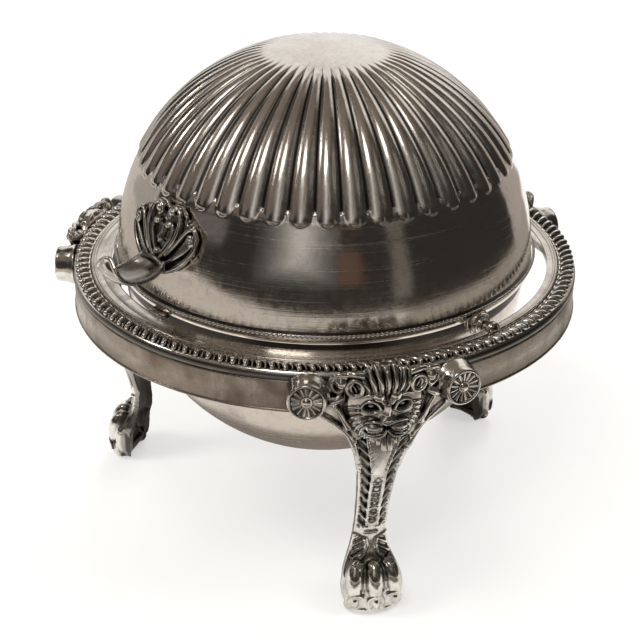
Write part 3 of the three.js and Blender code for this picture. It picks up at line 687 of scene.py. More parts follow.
def dome_shell():
    """The fluted dome: a spun sheet, pressed to lobes that stand out at their rounded lower ends."""
    rows = [*np.linspace(1, 26.8, 9), *np.linspace(27.4, 36, 26), *np.linspace(37.5, 68, 17), *np.linspace(69, 77, 9)]
    outer = arc((0, DOME_Z), DOME_RADIUS, [*rows, 80, 83.5, 87])
    within = DOME_RADIUS - DOME_WALL - 0.25
    inner = arc((0, DOME_Z), within, [*np.linspace(87, 38, 12), *np.linspace(36, 27, 12), 20, 12, 4])
    edge = COLLAR_RADIUS - DOME_WALL
    face = COLLAR_RADIUS - 0.02
    line = [(0, DOME_Z + within)] + inner
    line += [(edge, DOME_Z), (edge, COLLAR_Z + 0.3), (edge + 0.15, COLLAR_Z + 0.05), (COLLAR_RADIUS - 0.25, COLLAR_Z)]
    line += [(face, COLLAR_Z + 0.25), (face, DOME_Z - 1.4)] + outer + [(0, DOME_Z + DOME_RADIUS)]
    bm = reshaped(spun(upright(line), LOBES * 16, closed=False), pressed_out)
    settle("dome_shell_pressed", cut(bm, pivot_rods(69, 76, FREE_HOLE)), dome_silver, "dome", ["dome_shell"], 50)


def dome_bead():
    """A milled wire: small slanted beads in a row."""
    middle = COLLAR_RADIUS + 0.70
    bm = spun(upright(arc((middle - 0.25, DOME_Z), 0.32, range(0, 360, 45))), 192)
    bead = bmesh.ops.create_uvsphere(bm, u_segments=6, v_segments=5, radius=1)["verts"]
    bmesh.ops.scale(bm, vec=(0.46, 0.45, 0.66), verts=bead)
    bmesh.ops.rotate(bm, cent=CENTRE, matrix=turned_by(24, "Y"), verts=bead)
    bmesh.ops.translate(bm, vec=(0, -middle, DOME_Z), verts=bead)
    repeated_round(bm, bead, MILLED_BEADS)
    settle("dome_bead_milled", bm, bead_silver, "dome", ["dome_bead"], 60)


# ---- shapes for castings


def smooth_line(points, count):
    """More points on a smooth line through the given ones."""
    points = [Vector(point) for point in points]
    ends = [points[0] * 2 - points[1]] + points + [points[-1] * 2 - points[-2]]
    line = []
    for i in range(count + 1):
        whole = i / count * (len(points) - 1)
        step = min(int(whole), len(points) - 2)
        t = whole - step
        a, b, c, d = ends[step : step + 4]
        curve = (2 * a - 5 * b + 4 * c - d) * t * t + (3 * b - a - 3 * c + d) * t**3
        line.append(0.5 * (2 * b + (c - a) * t + curve))
    return line


def bridged(bm, loops):
    """Joins a row of rings, each a list of edges, and closes the first and the last."""
    for one, two in zip(loops, loops[1:]):
        bmesh.ops.bridge_loops(bm, edges=one + two)
    for ring in (loops[0], loops[-1]):
        bmesh.ops.edgeloop_fill(bm, edges=ring)


def scroll(bm, points, first, last, count, sides=8):
    """A rounded bar along a smooth line, from one radius to another, with round ends."""
    line = smooth_line(points, count)
    rings = []
    for i, place in enumerate(line):
        ahead = line[min(i + 1, count)] - line[max(i - 1, 0)]
        turn = Matrix.Translation(place) @ ahead.to_track_quat("Z", "Y").to_matrix().to_4x4()
        radius = first + (last - first) * i / count
        rings.append(edges_of(bmesh.ops.create_circle(bm, segments=sides, radius=radius, matrix=turn)["verts"]))
    bridged(bm, rings)
    for place, radius in ((line[0], first), (line[-1], last)):
        ball(bm, place, radius, 10, 7)


def ball(bm, place, radius, around, up):
    where = Matrix.Translation(place)
    bmesh.ops.create_uvsphere(bm, u_segments=around, v_segments=up, radius=radius, matrix=where)


def outline_loft(bm, rings):
    """A closed skin over rings of points, given in order."""
    loops = []
    for ring in rings:
        verts = [bm.verts.new(point) for point in ring]
        loops.append([bm.edges.new((verts[i - 1], verts[i])) for i in range(len(verts))])
    bridged(bm, loops)


# ---- handle


# Ribs of the palmette's right half: first and last radius, lift over the lobes, steps, and (across, height).
RIBS = [
    (0.72, 0.62, 1.75, 34, [
        (1.0, 115.8), (3.9, 119.0), (6.5, 123.2), (7.5, 127.8), (6.8, 131.0), (4.9, 132.7), (2.9, 132.5),
        (1.9, 131.0), (2.6, 129.7),
    ]),
    (0.4, 0.5, 1.3, 22, [(0.8, 117.2), (3.0, 120.4), (4.9, 124.2), (4.6, 127.0), (3.2, 128.0)]),
    (0.62, 0.6, 1.7, 34, [
        (4.4, 118.2), (7.2, 121.6), (9.7, 125.4), (11.8, 128.0), (13.9, 128.4), (15.0, 126.6), (14.6, 124.6),
        (13.0, 124.0), (12.2, 125.2),
    ]),
    (0.6, 0.5, 1.4, 22, [(2.4, 114.8), (6.6, 117.0), (10.6, 120.0), (13.2, 122.6), (14.9, 125.2)]),
    (0.95, 0.6, 1.5, 22, [(1.0, 111.9), (5.2, 113.0), (9.4, 115.4), (12.9, 118.6), (15.0, 122.0), (15.3, 124.6)]),
]
# Across, height, lift and radius of the knobs in the curls.
CURL_KNOBS = [(3.4, 131.3, 1.75, 1.25), (2.7, 127.2, 1.5, 1.1), (13.2, 126.0, 1.6, 1.2)]
EDGE_KNOBS = [
    (8.9, 130.9), (10.3, 130.2), (11.6, 129.4), (7.6, 131.8), (12.8, 128.9), (14.9, 119.3), (15.1, 120.9),
]


def on_dome(across, height, lift):
    """A place on the dome at the handle: across and height in millimetres, lift above the lobes."""
    reach = DOME_RADIUS + 1.05 + lift
    up = height - DOME_Z
    return Vector((across, -sqrt(reach**2 - across**2 - up**2), height))


def rib(bm, points, first, last, lift, count):
    scroll(bm, [on_dome(x, z, lift) for x, z in points], first, last, count)


def knob(bm, x, z, lift, radius):
    ball(bm, on_dome(x, z, lift), radius, 14, 10)


def handle():
    """A palmette of four curled ferns that lies on the dome, with a thumb tab like a spoon."""
    bm = bmesh.new()
    plate = []
    outline = [
        (7.6, 113.0), (11.6, 116.2), (15.0, 121.0), (15.3, 125.4), (13.2, 128.2), (9.0, 129.2), (8.2, 131.6),
        (5.4, 133.4), (2.0, 133.2),
    ]
    for lift in (0.0, 0.85):
        right = [on_dome(x, z, lift) for x, z in outline]
        left = [on_dome(-x, z, lift) for x, z in reversed(outline)]
        foot = [on_dome(-3, 111.4, lift), on_dome(3, 111.4, lift)]
        plate.append([*right, on_dome(0, 132.0, lift), *left, *foot])
    outline_loft(bm, plate)
    for hand in HANDS:
        for first, last, lift, count, points in RIBS:
            rib(bm, [(hand * x, z) for x, z in points], first, last, lift, count)
        for x, z, lift, radius in CURL_KNOBS + [(x, z, 0.9, 0.55) for x, z in EDGE_KNOBS]:
            knob(bm, hand * x, z, lift, radius)
    knob(bm, 0, 118.2, 1.6, 1.35)
    knob(bm, 0, 121.6, 1.2, 0.8)
    rib(bm, [(-1.2, 122.4), (0.2, 124.6), (0.2, 126.6)], 0.5, 0.35, 1.2, 10)
    thumb_tab(bm)
    bm = cast_in_one(bm, 0.22)
    # Its back is hollowed to lie on the dome.
    inside = DOME_RADIUS + 1.0
    middle = Vector((0, 0, DOME_Z))
    for vert in bm.verts:
        reach = vert.co - middle
        if reach.length < inside:
            vert.co = middle + reach.normalized() * inside
    settle("handle_cast", bm, handle_silver, "dome", ["handle"], 180)


def thumb_tab(bm):
    """The tab leaves the palmette as a shallow basin with a thick rim and curls up to a round tip."""
    spine = [(73.4, 114.2), (77.4, 112.0), (83.6, 111.3), (89.8, 112.6), (93.0, 116.8), (92.3, 121.2)]
    count = 24
    line = smooth_line([(out, height, 0) for out, height in spine], count)
    rings = []
    for i, place in enumerate(line):
        share = i / count
        ahead = (line[min(i + 1, count)] - line[max(i - 1, 0)]).normalized()
        lift = Vector((-ahead.y, ahead.x))
        half = 6.9 * (0.80 + 0.20 * sin(pi * min(1.0, share * 1.5)))
        half *= sqrt(max(0.03, 1 - max(0.0, (share - 0.7) / 0.3) ** 2))
        dish = 2.1 * (1 - 0.55 * share)
        ring = []
        for side, thick in ((1, 0.0), (-1, 1.0)):
            for step in range(13):
                t = side * (step / 6 - 1)
                drop = dish * t * t - 0.2 + thick
                ring.append((t * half, -(place.x + lift.x * drop), place.y + lift.y * drop))
        rings.append(ring)
    outline_loft(bm, rings)
    steps = range(0, count + 1, 3)
    rim = [rings[i][0] for i in steps] + [rings[count][6]] + [rings[i][12] for i in reversed(steps)]
    scroll(bm, [Vector(point) + UPRIGHT * 0.35 for point in rim], 0.85, 0.85, 70)
    cup = [(-6.6, -75.6, 114.0), (-5.2, -74.8, 115.6), (0, -74.6, 116.6), (5.2, -74.8, 115.6), (6.6, -75.6, 114.0)]
    scroll(bm, cup, 0.8, 0.8, 20)


# ---- legs


def spot(across, out, height):
    """A place on a leg that faces the front, with across measured along the ring."""
    angle = across / LEG_BEND
    return Vector((out * sin(angle), -out * cos(angle), height))


def spots(points, hand=1):
    return [spot(hand * across, out, height) for across, out, height in points]


def lump(bm, across, out, height, wide, deep, tall, lean=0.0, yaw=0.0, pitch=0.0, detail=12):
    """A rounded lump of three half sizes, turned to lie on the leg."""
    turn = Matrix.Rotation(across / LEG_BEND + radians(yaw), 4, "Z")
    turn = turn @ turned_by(lean, "Y", 4) @ turned_by(pitch, "X", 4)
    place = Matrix.Translation(spot(across, out, height)) @ turn @ Matrix.Diagonal((wide, deep, tall, 1))
    bmesh.ops.create_uvsphere(bm, u_segments=detail, v_segments=max(6, detail * 2 // 3), radius=1, matrix=place)


# Across, out, height, three half sizes, lean in degrees and detail of the lumps on the wings, the head and the face.
WING_LUMPS = [
    (13.9, 92.2, 94.4, 1.9, 2.4, 2.2, 0, 16), (15.4, 91.3, 87.6, 3.0, 1.6, 1.5, 30, 14),
    (18.4, 91.3, 90.4, 1.5, 1.5, 3.0, 20, 12),
]
HEAD_LUMPS = [
    (0, 89.6, 85.4, 12.4, 4.4, 13.6, 0, 28), (0, 90.8, 92.2, 8.8, 3.3, 6.8, 0, 20),
    (0, 92.8, 84.8, 1.8, 2.5, 4.6, 0, 16), (0, 94.2, 81.3, 2.5, 1.5, 1.3, 0, 18),
    (0, 91.8, 76.0, 4.4, 2.0, 2.6, 0, 14),
]
FACE_LUMPS = [
    (2.6, 93.0, 89.6, 2.2, 2.2, 2.6, 16, 16), (7.4, 91.7, 81.6, 2.6, 2.0, 2.6, 0, 16),
    (3.7, 92.9, 78.4, 3.2, 2.6, 2.3, -8, 20), (1.5, 94.6, 80.9, 1.1, 1.1, 0.9, 0, 12),
    (9.9, 91.2, 92.4, 2.9, 2.0, 3.2, 24, 16),
]


def leaning_lump(bm, hand, across, out, height, wide, deep, tall, lean, detail):
    lump(bm, hand * across, out, height, wide, deep, tall, lean=hand * lean, detail=detail)


def leg_section(height, front, depth, width, hollow):
    """An arched section, thin and hollowed along its back as a casting is."""
    half = width / 2
    back = front - depth
    flank = back + depth * 0.45
    arch = [(half * sin(radians(a)) * 1.02, flank + (front - flank) * cos(radians(a))) for a in range(-80, 81, 16)]
    rear = [(half, back), (half * 0.55, back + hollow * 0.8), (0, back + hollow), (-half * 0.55, back + hollow * 0.8)]
    return [spot(across, out, height) for across, out in [(-half, back)] + arch + rear]


def leg_paw(bm):
    """Three tall toes with hooded claws, on a sole with a rounded rim."""
    for toe in (-1, 0, 1):
        across = toe * 7.0
        out = 81.9 - 1.3 * abs(toe)
        lump(bm, across * 0.93, out - 0.4, 11.8, 3.5, 5.0, 7.4, yaw=toe * 18, pitch=-12, detail=24)
        lump(bm, across, out + 2.3, 5.2, 1.6, 2.5, 2.6, yaw=toe * 22, pitch=24, detail=14)
        for hand in HANDS:
            hood = ((0.2, 4.2, 8.2), (1.8, 3.8, 7.5), (2.7, 3.0, 5.4), (2.3, 2.8, 3.4))
            scroll(bm, [spot(across + hand * x, out + y, z) for x, y, z in hood], 0.6, 0.55, 8)
    for hand in HANDS:
        lump(bm, hand * 9.4, 77.6, 8.4, 2.4, 4.4, 6.2, yaw=hand * 10)
    rim = []
    for a in range(0, 360, 15):
        toward_front = 1.0 if abs(a - 180) > 90 else 0.5
        rim.append(spot(9.7 * sin(radians(a)), 79.6 + 4.3 * cos(radians(a)) * toward_front, 1.9))
    scroll(bm, rim + rim[:1], 1.3, 1.3, 48)


def turned_on_roundel(profile, steps):
    """A piece turned about the line of a roundel at the front, from (distance from the axis, radius) points."""
    points = [(0, -along, ROUNDEL_Z + radius) for along, radius in profile]
    return spun(points, steps, (0, 1, 0), (0, 0, ROUNDEL_Z), closed=False)


def leg_roundel(bm, hand):
    """A long drum with a recessed face and a daisy of fifteen petals in it."""
    face = [(-2.2, 6.35), (-0.7, 6.22), (-0.12, 5.95), (0, 5.65), (-0.1, 5.3), (-0.6, 5.1), (-0.85, 4.95)]
    face += [(-0.85, 1.9), (-0.45, 1.8), (-0.45, 0.0)]
    rear = [(88.8, 0.0), (88.8, 7.2), (89.6, 7.2), (90.6, 6.75)]
    drum = turned_on_roundel(rear + shifted(face, ROUNDEL_FACE, 0), 40)
    middle = Matrix.Translation((0, 0.85 - ROUNDEL_FACE, ROUNDEL_Z))
    for petal in range(PETALS):
        turn = Matrix.Rotation(2 * pi * petal / PETALS, 4, "Y") @ Matrix.Translation((0, 0, 3.4))
        place = middle @ turn @ Matrix.Diagonal((0.8, 0.62, 1, 1))
        bmesh.ops.create_cone(drum, cap_ends=True, segments=10, radius1=0.34, radius2=0.96, depth=3.0, matrix=place)
    bmesh.ops.rotate(drum, cent=CENTRE, matrix=turned_by(hand * ROUNDEL_ANGLE, "Z"), verts=drum.verts)
    with_mesh(bm, as_mesh(drum))


def web(bm, outline, inside, outside):
    """A plate bent round the ring, from its outline in millimetres along and up."""
    middle = Vector((sum(x for x, _ in outline), sum(z for _, z in outline))) / len(outline)
    inner = [spot(x, inside, z) for x, z in outline]
    outer = [spot(middle.x + (x - middle.x) * 0.96, outside, middle.y + (z - middle.y) * 0.96) for x, z in outline]
    outline_loft(bm, [inner, outer])


def leg_wings(bm):
    """The plate behind the mask and roundels, its scrolls, and the leaves that run down into the shaft."""
    plate = [(7, 93), (16, 92.7), (24.5, 92.6), (24.5, 84.2), (19.5, 81.3), (15.2, 78.6)]
    plate += [(11.8, 75.2), (9.6, 71), (6, 71)]
    edge = [
        (19.6, 90.0, 81.5), (15.5, 90.3, 78.6), (12.2, 90.4, 75.6), (10.3, 89.8, 71.8), (9.2, 88.4, 67.6),
        (8.3, 86.6, 64.0), (7.2, 84.2, 57.5),
    ]
    leaf = [(17.6, 90.6, 86.6), (14.6, 91.6, 84.4), (12.9, 91.6, 80.6), (11.4, 91.0, 77.6)]
    curl = [
        (11.9, 92.0, 96.0), (13.4, 92.9, 97.2), (15.9, 92.6, 96.8), (17.0, 91.8, 94.4), (16.4, 91.4, 91.8),
        (14.6, 91.4, 90.4), (13.3, 91.6, 91.6),
    ]
    for hand in HANDS:
        web(bm, [(hand * x, z) for x, z in plate], 88.75, 90.0)
        scroll(bm, spots(edge, hand), 1.05, 0.6, 18)
        scroll(bm, spots(leaf, hand), 0.6, 1.1, 12)
        scroll(bm, spots(curl, hand), 0.8, 0.8, 20)
        for row in WING_LUMPS:
            leaning_lump(bm, hand, *row)


def lion_mask(bm):
    """Head of a lion: crown, cheeks, nose and muzzle as rounded lumps on an oval."""
    for row in HEAD_LUMPS:
        leaning_lump(bm, 1, *row)
    for hand in HANDS:
        for row in FACE_LUMPS:
            leaning_lump(bm, hand, *row)
        scroll(bm, spots([(7.4, 92.6, 96.4), (9.8, 92.8, 97.1), (12.8, 91.8, 96.8)], hand), 1.2, 0.8, 12)


def outward(places, normals):
    """Each point's distance from the dish's axis, and how much its normal points away from it."""
    reach = np.hypot(places[:, 0], places[:, 1])
    return reach, (normals[:, 0] * places[:, 0] + normals[:, 1] * places[:, 1]) / reach


def mask_carving(places, normals):
    """Strands, sockets and hollows of the mask, and the strokes of the shaft, cut along the normals."""
    out, facing = outward(places, normals)
    across = np.abs(np.arctan2(places[:, 0], -places[:, 1]) * LEG_BEND)
    height = places[:, 2]
    depth = mask_lines(across, height) * (out > 89.3) * (height > 66) + shaft_lines(across, height)
    return normals * (depth * smoothstep(facing, 0.0, 0.35))[:, None]


def mask_lines(across, height):
    """The hollows of the mask, the same on both sides."""

    def pit(middle, level, wide, tall, first, last):
        return 1 - smoothstep(np.hypot((across - middle) / wide, (height - level) / tall), first, last)

    crown = smoothstep(height, 89.5, 91.5) * (across < 7.0) * (height < 101.5)
    hair = np.abs(np.cos(np.arctan2(across, height - 76.5) * 25))
    depth = -0.75 * crown * (1 - smoothstep(hair, 0.1, 0.6))
    # Brow line, eye socket, ear, fold under the eye, nostril, lip line and mouth.
    depth -= 1.0 * (1 - smoothstep(across, 0.25, 0.8)) * (height > 86.6) * (height < 91.0)
    depth -= 2.0 * pit(4.7, 85.9, 2.7, 2.0, 0.6, 1.05)
    depth -= 2.4 * pit(9.0, 92.3, 1.9, 2.2, 0.55, 1.0)
    depth -= 0.7 * pit(6.2, 81.9, 2.6, 0.7, 0.5, 1.0)
    depth -= 0.8 * pit(1.2, 80.4, 0.6, 0.5, 0.4, 1.1)
    depth -= 1.0 * (1 - smoothstep(across, 0.2, 0.7)) * (height > 75.6) * (height < 79.8)
    return depth - 1.8 * pit(0.0, 74.2, 5.4, 1.7, 0.75, 1.05)


def shaft_lines(across, height):
    """Rails with slanted strokes between them along both edges of the shaft, and its pebbled middle."""
    heights, _, _, widths, _ = zip(*LEG_STATIONS)
    half = np.interp(height, heights, widths) / 2
    outer = half - 0.75
    inner = np.interp(height, [28, 56, 61, 65, 73], [2.3, 2.3, 3.1, 3.9, 5.3])
    region = smoothstep(height, 29.5, 31.0) * (1 - smoothstep(height, 71.5, 73.5))
    outer_rail = 1 - smoothstep(np.abs(across - outer), 0.3, 0.7)
    rails = np.maximum(outer_rail, 1 - smoothstep(np.abs(across - inner), 0.3, 0.65))
    between = (across > inner) * (across < outer)
    slant = (height + (across - outer) * -1.15) / 4.6
    stroke = np.abs((slant % 1.0) - 0.5) * 2
    bars = smoothstep(stroke, 0.62, 0.86)
    hollow = -1.25 * between * (1 - bars) * (1 - smoothstep(stroke, 0.5, 0.7) * 0.4)
    relief = region * (0.45 * rails * (height > 30) + hollow * (1 - rails))
    pebbles = np.sin(height * 4.2 + 3.1 * np.sin(across * 2.3)) * np.sin(across * 4.4 + 2.2 * np.sin(height * 1.3))
    middle = smoothstep(height, 31, 33) * (1 - smoothstep(height, 52, 56)) * (across < inner - 0.6)
    relief -= 0.5 * middle * (pebbles > 0.05)
    bar = (1 - smoothstep(np.abs(height - 28.0), 0.3, 0.7)) * (across < 2.6)
    bend = np.interp(height, [17.0, 19.5, 22.5, 25.4, 26.8], [5.2, 2.7, 1.7, 2.4, 6.0])
    bracket = (1 - smoothstep(np.abs(across - bend), 0.35, 0.9)) * (height > 17.0) * (height < 26.9)
    relief += 0.7 * bar + 0.75 * bracket
    side = (across > bend + 0.5) * (across < half - 1.0) * (height > 18.2) * (height < 26.0)
    return relief - 0.8 * side * (0.5 + 0.5 * np.sin(height * 2.6 + across * 1.4))


def face_front(across, height):
    """How far the plain head of the lion stands from the axis."""
    egg = max(0.0, 1 - (across / 12.4) ** 2 - ((height - 85.4) / 13.6) ** 2)
    crown = max(0.0, 1 - (across / 8.8) ** 2 - ((height - 92.2) / 6.8) ** 2)
    return max(90.3, 89.6 + 4.4 * sqrt(egg), 90.8 + 3.3 * sqrt(crown) if crown else 0.0)


def drawn(bm, points, first, last, lift, hand=1, count=14):
    """A thin raised line on the lion's face through points of (across, height)."""
    smooth = smooth_line([(x, z, 0) for x, z in points], count)
    scroll(bm, [spot(hand * x, face_front(x, z) + lift, z) for x, z, _ in smooth], first, last, count, 7)


def chased_side(bm, hand):
    """What the chaser has sharpened on one side: lids, brow, jowl, whiskers, ear and mane."""
    lump(bm, hand * 4.7, 91.9, 85.9, 1.45, 1.3, 1.3, detail=18)
    drawn(bm, [(2.0, 85.0), (2.9, 86.9), (4.7, 87.9), (6.8, 87.4), (7.9, 85.6)], 0.66, 0.45, 0.3, hand)
    drawn(bm, [(2.0, 85.0), (3.4, 83.9), (5.2, 83.8), (7.0, 84.5), (7.9, 85.6)], 0.55, 0.45, 0.25, hand)
    drawn(bm, [(1.2, 87.2), (2.9, 89.0), (5.4, 89.9), (8.2, 89.2)], 0.7, 0.4, 0.3, hand)
    jowl = [(0.35, 79.6), (2.0, 80.6), (4.4, 81.0), (6.6, 80.0), (7.4, 78.2), (6.4, 76.3), (4.0, 75.5)]
    jowl += [(1.5, 76.0), (0.35, 77.4)]
    rim = [(x, min(95.4, 95.0 - 0.12 * (x - 2.6) ** 2), z) for x, z in jowl]
    scroll(bm, spots(rim, hand), 0.5, 0.5, 30, 7)
    for row in range(3):
        z = 79.2 - row * 1.15
        whisker = [(x, 95.45 - 0.10 * (x - 3.4) ** 2, z - drop) for x, drop in ((2.2, 0), (4.2, 0.35), (6.0, 0.2))]
        scroll(bm, spots(whisker, hand), 0.26, 0.2, 6, 6)
    ear = [(7.9, 90.4), (7.5, 92.3), (8.2, 94.3), (9.9, 95.1), (11.6, 94.3), (12.3, 92.3), (11.4, 90.5)]
    ear += [(9.6, 89.7), (7.9, 90.4)]
    scroll(bm, spots([(x, 93.5 - 0.16 * (x - 6.4), z) for x, z in ear], hand), 0.75, 0.75, 30)
    scroll(bm, spots([(9.2, 92.4, 90.8), (9.6, 92.8, 92.2), (10.4, 92.6, 93.4)], hand), 0.5, 0.25, 6, 6)
    for strand in range(9):
        turn = radians(84 + strand * 9.6)
        bends = ((0.70, 0), (0.86, 0.04), (1.0, 0.14))
        lock = [(12.4 * r * sin(turn + bend), 84.9 + 13.4 * r * cos(turn + bend)) for r, bend in bends]
        drawn(bm, lock, 0.8, 0.4, 0.3, hand, 6)


def mask_crisp(bm):
    """The chased lines of both sides, the hair over the brow, and the teeth."""
    for hand in HANDS:
        chased_side(bm, hand)
    for strand in range(-4, 5):
        turn = radians(strand * 7.2)
        top = (20.6, 22.2, 21.4, 20.4, 19.6)[abs(strand)]
        bends = ((14.2 + 0.3 * abs(strand), 0), (17.4, 0.02), (top, -0.03 * (strand % 2)))
        drawn(bm, [(r * sin(turn + bend), 76.5 + r * cos(turn + bend)) for r, bend in bends], 0.42, 0.92, 0.2, 1, 8)
    for across, wide, tall in ((0.85, 1.6, 5.6), (2.6, 1.3, 3.4), (4.0, 1.1, 2.6)):
        for hand in HANDS:
            tooth = bmesh.ops.create_cube(bm, size=1)["verts"]
            bmesh.ops.scale(bm, vec=(wide, 1.4, tall), verts=tooth)
            tooth = bevelled(bm, edges_of(tooth), 0.42)
            bmesh.ops.rotate(bm, cent=CENTRE, matrix=turned_by(-14, "X"), verts=tooth)
            place = spot(hand * across, 93.6 - 0.05 * across * across, 75.5 - tall / 2)
            bmesh.ops.translate(bm, vec=place, verts=tooth)


def mark_inner_side(mesh):
    """Notes on each point of a leg how much it faces the dish's axis, where painted shade darkens it, with the black
    of the unpolished back.
    """
    places, normals = places_and_normals(mesh)
    reach, facing = outward(places, normals)
    inner = (1 - smoothstep(facing, -0.25, 0.3)) * (places[:, 2] < 80) * (reach < 90.5)
    mesh.attributes.new("inner_side_shade", "FLOAT", "POINT").data.foreach_set("value", inner)


def legs():
    bm = bmesh.new()
    outline_loft(bm, [leg_section(*station) for station in smooth_line(LEG_STATIONS, 48)])
    leg_paw(bm)
    leg_wings(bm)
    lion_mask(bm)
    bm = reshaped(cast_in_one(bm, 0.37), mask_carving)
    for vert in bm.verts:
        vert.co.z = max(vert.co.z, 0.0)
        reach = vert.co.xy.length
        # The back is filed flat where it meets the ring and behind the paw.
        flat = BACK_AT_RING if vert.co.z > 80.0 else float(np.interp(vert.co.z, BACK_HEIGHTS, BACK_REACHES))
        if reach < flat:
            vert.co.xy *= flat / reach
    sharpened = bmesh.new()
    mask_crisp(sharpened)
    for hand in HANDS:
        leg_roundel(sharpened, hand)
    mesh = as_mesh(with_mesh(bm, as_mesh(sharpened)))
    mark_inner_side(mesh)
    for name, angle in LEG_ANGLES.items():
        own = mesh.copy()
        own.transform(turned_by(angle, "Z", 4))
        settle(f"{name}_cast", own, cast_silver, "stand", [name], 60)


def leg_rivets():
    shank = [(85.55, 0.0), (85.55, 1.2), (85.9, 1.65), (86.5, 1.7), (86.5, 0.8)]
    head = [(0, 0.8), (0, 1.2), (0.3, 1.3), (0.6, 1.1), (0.76, 0.7), (0.8, 0.0)]
    for index in range(6):
        angle = (60, 180, 300)[index // 2] + (ROUNDEL_ANGLE if index % 2 else -ROUNDEL_ANGLE)
        bm = turned_on_roundel(shank + shifted(head, ROUNDEL_FACE - 0.35, 0), 24)
        bmesh.ops.rotate(bm, cent=CENTRE, matrix=turned_by(angle, "Z"), verts=bm.verts)
        name = f"leg_rivet_{index + 1}"
        settle(f"{name}_headed", bm, pivot_silver, "stand", [name], 40)


# ---- studio


def plain(name, colour):
    """A card's even tone, as the silver mirrors it."""
    finish, tree, shader = new_finish(name)
    feed(tree, shader, {"Base Color": (0, 0, 0, 1), "Specular IOR Level": 0.0})
    feed(tree, shader, {"Emission Color": (*colour, 1), "Emission Strength": 1.0})
    return finish


def seen_as_background(tree):
    """One for rays that see the background: from the camera, or by way of metal or glass."""
    rays = add(tree, "LightPath", {})
    either = calc(tree, "MAXIMUM", rays["Is Camera Ray"], rays["Is Glossy Ray"])
    return calc(tree, "MAXIMUM", either, rays["Is Transmission Ray"])


def paper():
    """White paper that shows a little brighter than its light makes it."""
    finish, tree, shader = new_finish("paper")
    feed(tree, shader, {"Base Color": (0.93, 0.92, 0.90, 1), "Roughness": 0.95, "Specular IOR Level": 0.0})
    glow = add(tree, "Emission", {"Color": (1, 1, 1, 1)})
    share = ranged(tree, seen_as_background(tree), 0, 1, 0.0, 0.5)
    blend = add(tree, "MixShader", {"Fac": share, 1: shader.outputs["BSDF"], 2: glow["Emission"]})
    feed(tree, tree.nodes["Material Output"], {"Surface": blend["Shader"]})
    return finish


def hang(name, bm, colour):
    """Hangs a card in the studio, where only the dish's reflections show it."""
    mesh = as_mesh(bm, name)
    mesh.materials.append(plain(name, colour))
    sheet = placed(name, mesh)
    sheet.visible_camera = False
    sheet.visible_shadow = False
    sheet.visible_diffuse = False


def card(name, colour, line, low, high):
    """An upright card in metres, along points of (azimuth in degrees, distance)."""
    bm = bmesh.new()
    points = smooth_line([(azimuth, distance, 0) for azimuth, distance in line], 40)
    verts = [bm.verts.new(at(azimuth, distance, low)) for azimuth, distance, _ in points]
    edges = [bm.edges.new(pair) for pair in zip(verts, verts[1:])]
    drawn_out(bm, bmesh.ops.extrude_edge_only(bm, edges=edges), (0, 0, high - low))
    hang(name, bm, colour)


def lid(name, colour, inner, outer, height, first=0, last=360):
    """A level ring or part of one, in metres, from one azimuth to another."""
    bm = bmesh.new()
    verts = [bm.verts.new(at(first, reach, height)) for reach in (inner, outer)]
    edge = bm.edges.new(verts)
    bmesh.ops.spin(bm, geom=verts + [edge], cent=CENTRE, axis=UPRIGHT, angle=radians(last - first), steps=48)
    hang(name, bm, colour)


def softbox(name, azimuth, distance, height, size, power, mirrored=False):
    """A square lamp aimed at the dish; the silver mirrors it only if asked."""
    lamp = bpy.data.lights.new(name, "AREA")
    lamp.energy = power
    lamp.size = size
    lamp.color = (1, 0.98, 0.95)
    holder = placed(name, lamp)
    holder.location = at(azimuth, distance, height)
    aim = Vector((0, 0, 0.09)) - holder.location
    holder.rotation_euler = aim.to_track_quat("-Z", "Y").to_euler()
    holder.visible_glossy = mirrored


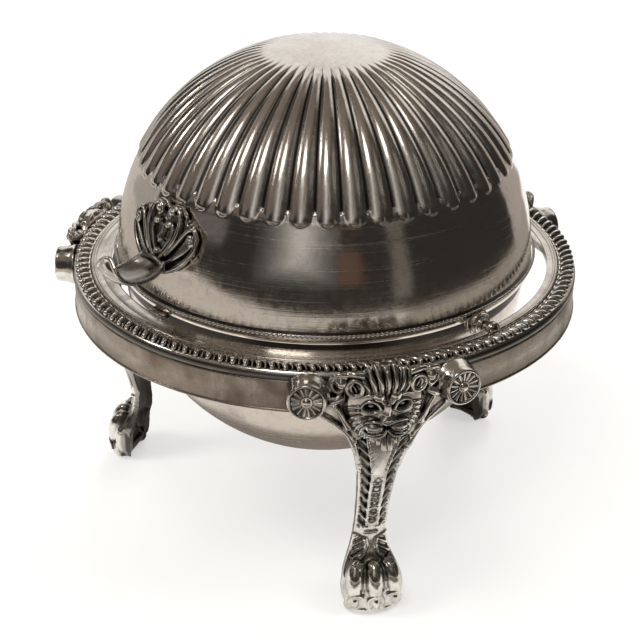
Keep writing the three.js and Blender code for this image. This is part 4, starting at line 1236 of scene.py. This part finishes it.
def studio():
    world = bpy.data.worlds.new("studio")
    bpy.context.scene.world = world
    world.use_nodes = True
    tree = world.node_tree
    strength = ranged(tree, seen_as_background(tree), 0, 1, 0.6, 1.0)
    feed(tree, tree.nodes["Background"], {"Color": (1, 0.985, 0.965, 1), "Strength": strength})

    bm = bmesh.new()
    bmesh.ops.create_grid(bm, x_segments=1, y_segments=1, size=4.0)
    floor = placed("floor", as_mesh(bm, "floor"))
    floor.location.z = -0.0003
    floor.data.materials.append(paper())

    # The dark wall round the dish, brown and lighter above.
    wall = [(-62, 1.15), (-40, 1.1), (-20, 0.9), (0, 0.62), (18, 0.50), (36, 0.44), (60, 0.42)]
    wall_right = [(60, 0.42), (100, 0.42), (135, 0.43), (165, 0.46)]
    card("card_wall", (0.034, 0.030, 0.027), wall + wall_right[1:], 0.0, 0.48)
    card("card_wall_high", (0.155, 0.125, 0.10), wall, 0.48, 1.45)
    card("card_wall_high_right", (0.075, 0.062, 0.05), wall_right, 0.48, 1.45)
    card("card_wall_left", (0.04, 0.036, 0.032), [(-98, 0.62), (-80, 0.62), (-60, 0.62)], 0.27, 0.90)
    card("card_left", (0.42, 0.39, 0.36), [(-112, 0.85), (-62, 0.82)], 0.0, 0.26)
    card("card_right", (0.42, 0.37, 0.34), [(166, 0.5), (200, 0.5)], 0.0, 0.32)
    # Strips in front of each other, narrower and lighter toward the dish, for a soft streak on the band and dome.
    for step, tone in enumerate((0.065, 0.095, 0.14, 0.20, 0.29, 0.40, 0.54)):
        wide = 22 - 3.0 * step
        reach = 0.405 - 0.004 * step
        line = [(35 - wide, reach), (35, reach), (35 + wide, reach)]
        card(f"card_strip_{step}", (tone, tone * 0.96, tone * 0.92), line, 0.11 + 0.012 * step, 0.62)
    card("card_grey", (0.15, 0.135, 0.135), [(-32, 0.85), (-8, 0.66)], 0.24, 0.50)
    card("card_brown", (0.12, 0.07, 0.05), [(55, 0.40), (66, 0.40)], 0.12, 0.24)
    card("card_post", (0.17, 0.155, 0.14), [(81, 0.40), (90, 0.40)], 0.05, 0.28)
    lid("card_ceiling", (0.20, 0.165, 0.135), 0.0, 0.75, 1.10)
    # Dark floor under and in front of the dish, seen only in reflections: a painted shadow of the dish.
    lid("card_floor", (0.14, 0.125, 0.11), 0.112, 0.21, 0.001, 10, 85)
    lid("card_floor_left", (0.60, 0.55, 0.49), 0.22, 0.80, 0.001, -130, 88)
    lid("card_floor_right", (0.36, 0.32, 0.28), 0.22, 0.80, 0.001, 88, 190)
    # A dark disc under the bowl, seen only in reflections: a painted shadow of the bowl.
    bm = bmesh.new()
    under = Matrix.Translation((-0.020, 0.020, 0.001))
    bmesh.ops.create_circle(bm, cap_ends=True, segments=64, radius=0.071, matrix=under)
    hang("card_bowl_shadow", bm, (0.28, 0.25, 0.225))

    softbox("window", 330, 1.2, 1.3, 0.5, 10)
    softbox("lamp_right", 120, 1.2, 1.3, 0.5, 5)
    softbox("lamp_back", 215, 1.4, 1.1, 0.6, 12)
    softbox("bulb_high", 20, 0.42, 0.90, 0.20, 1.0, True)
    softbox("bulb_front", 40, 0.55, 0.66, 0.22, 1.5, True)
    softbox("bulb_left", -42, 0.70, 0.72, 0.12, 0.50, True)
    softbox("bulb_right", 112, 0.50, 0.62, 0.08, 0.20, True)


def photograph():
    """The camera fitted to the photograph: 48 degrees round, 27.1 degrees down, and a little turned."""
    camera = bpy.data.cameras.new("camera")
    camera.sensor_width = 36
    camera.lens = 1700 / 640 * 36
    camera.clip_start = 0.01
    azimuth = 48
    tilt = radians(27.1)
    back = at(azimuth, 1, 0)
    right = Vector((cos(radians(azimuth)), sin(radians(azimuth)), 0))
    holder = placed("camera", camera)
    holder.location = back * 0.546 - right * 0.00145 + UPRIGHT * 0.348
    look = -back * cos(tilt) - UPRIGHT * sin(tilt)
    holder.rotation_euler = (look.to_track_quat("-Z", "Y").to_matrix() @ turned_by(0.28, "Z")).to_euler()
    bpy.context.scene.camera = holder


ring_band()
gadroon_border()
shelf()
pivots(1, "right")
pivots(-1, "left")
bowl()
liner()
dome_shell()
dome_bead()
handle()
legs()
leg_rivets()
studio()
photograph()

bpy.context.scene.view_settings.view_transform = "Standard"

bpy.context.view_layer.update()
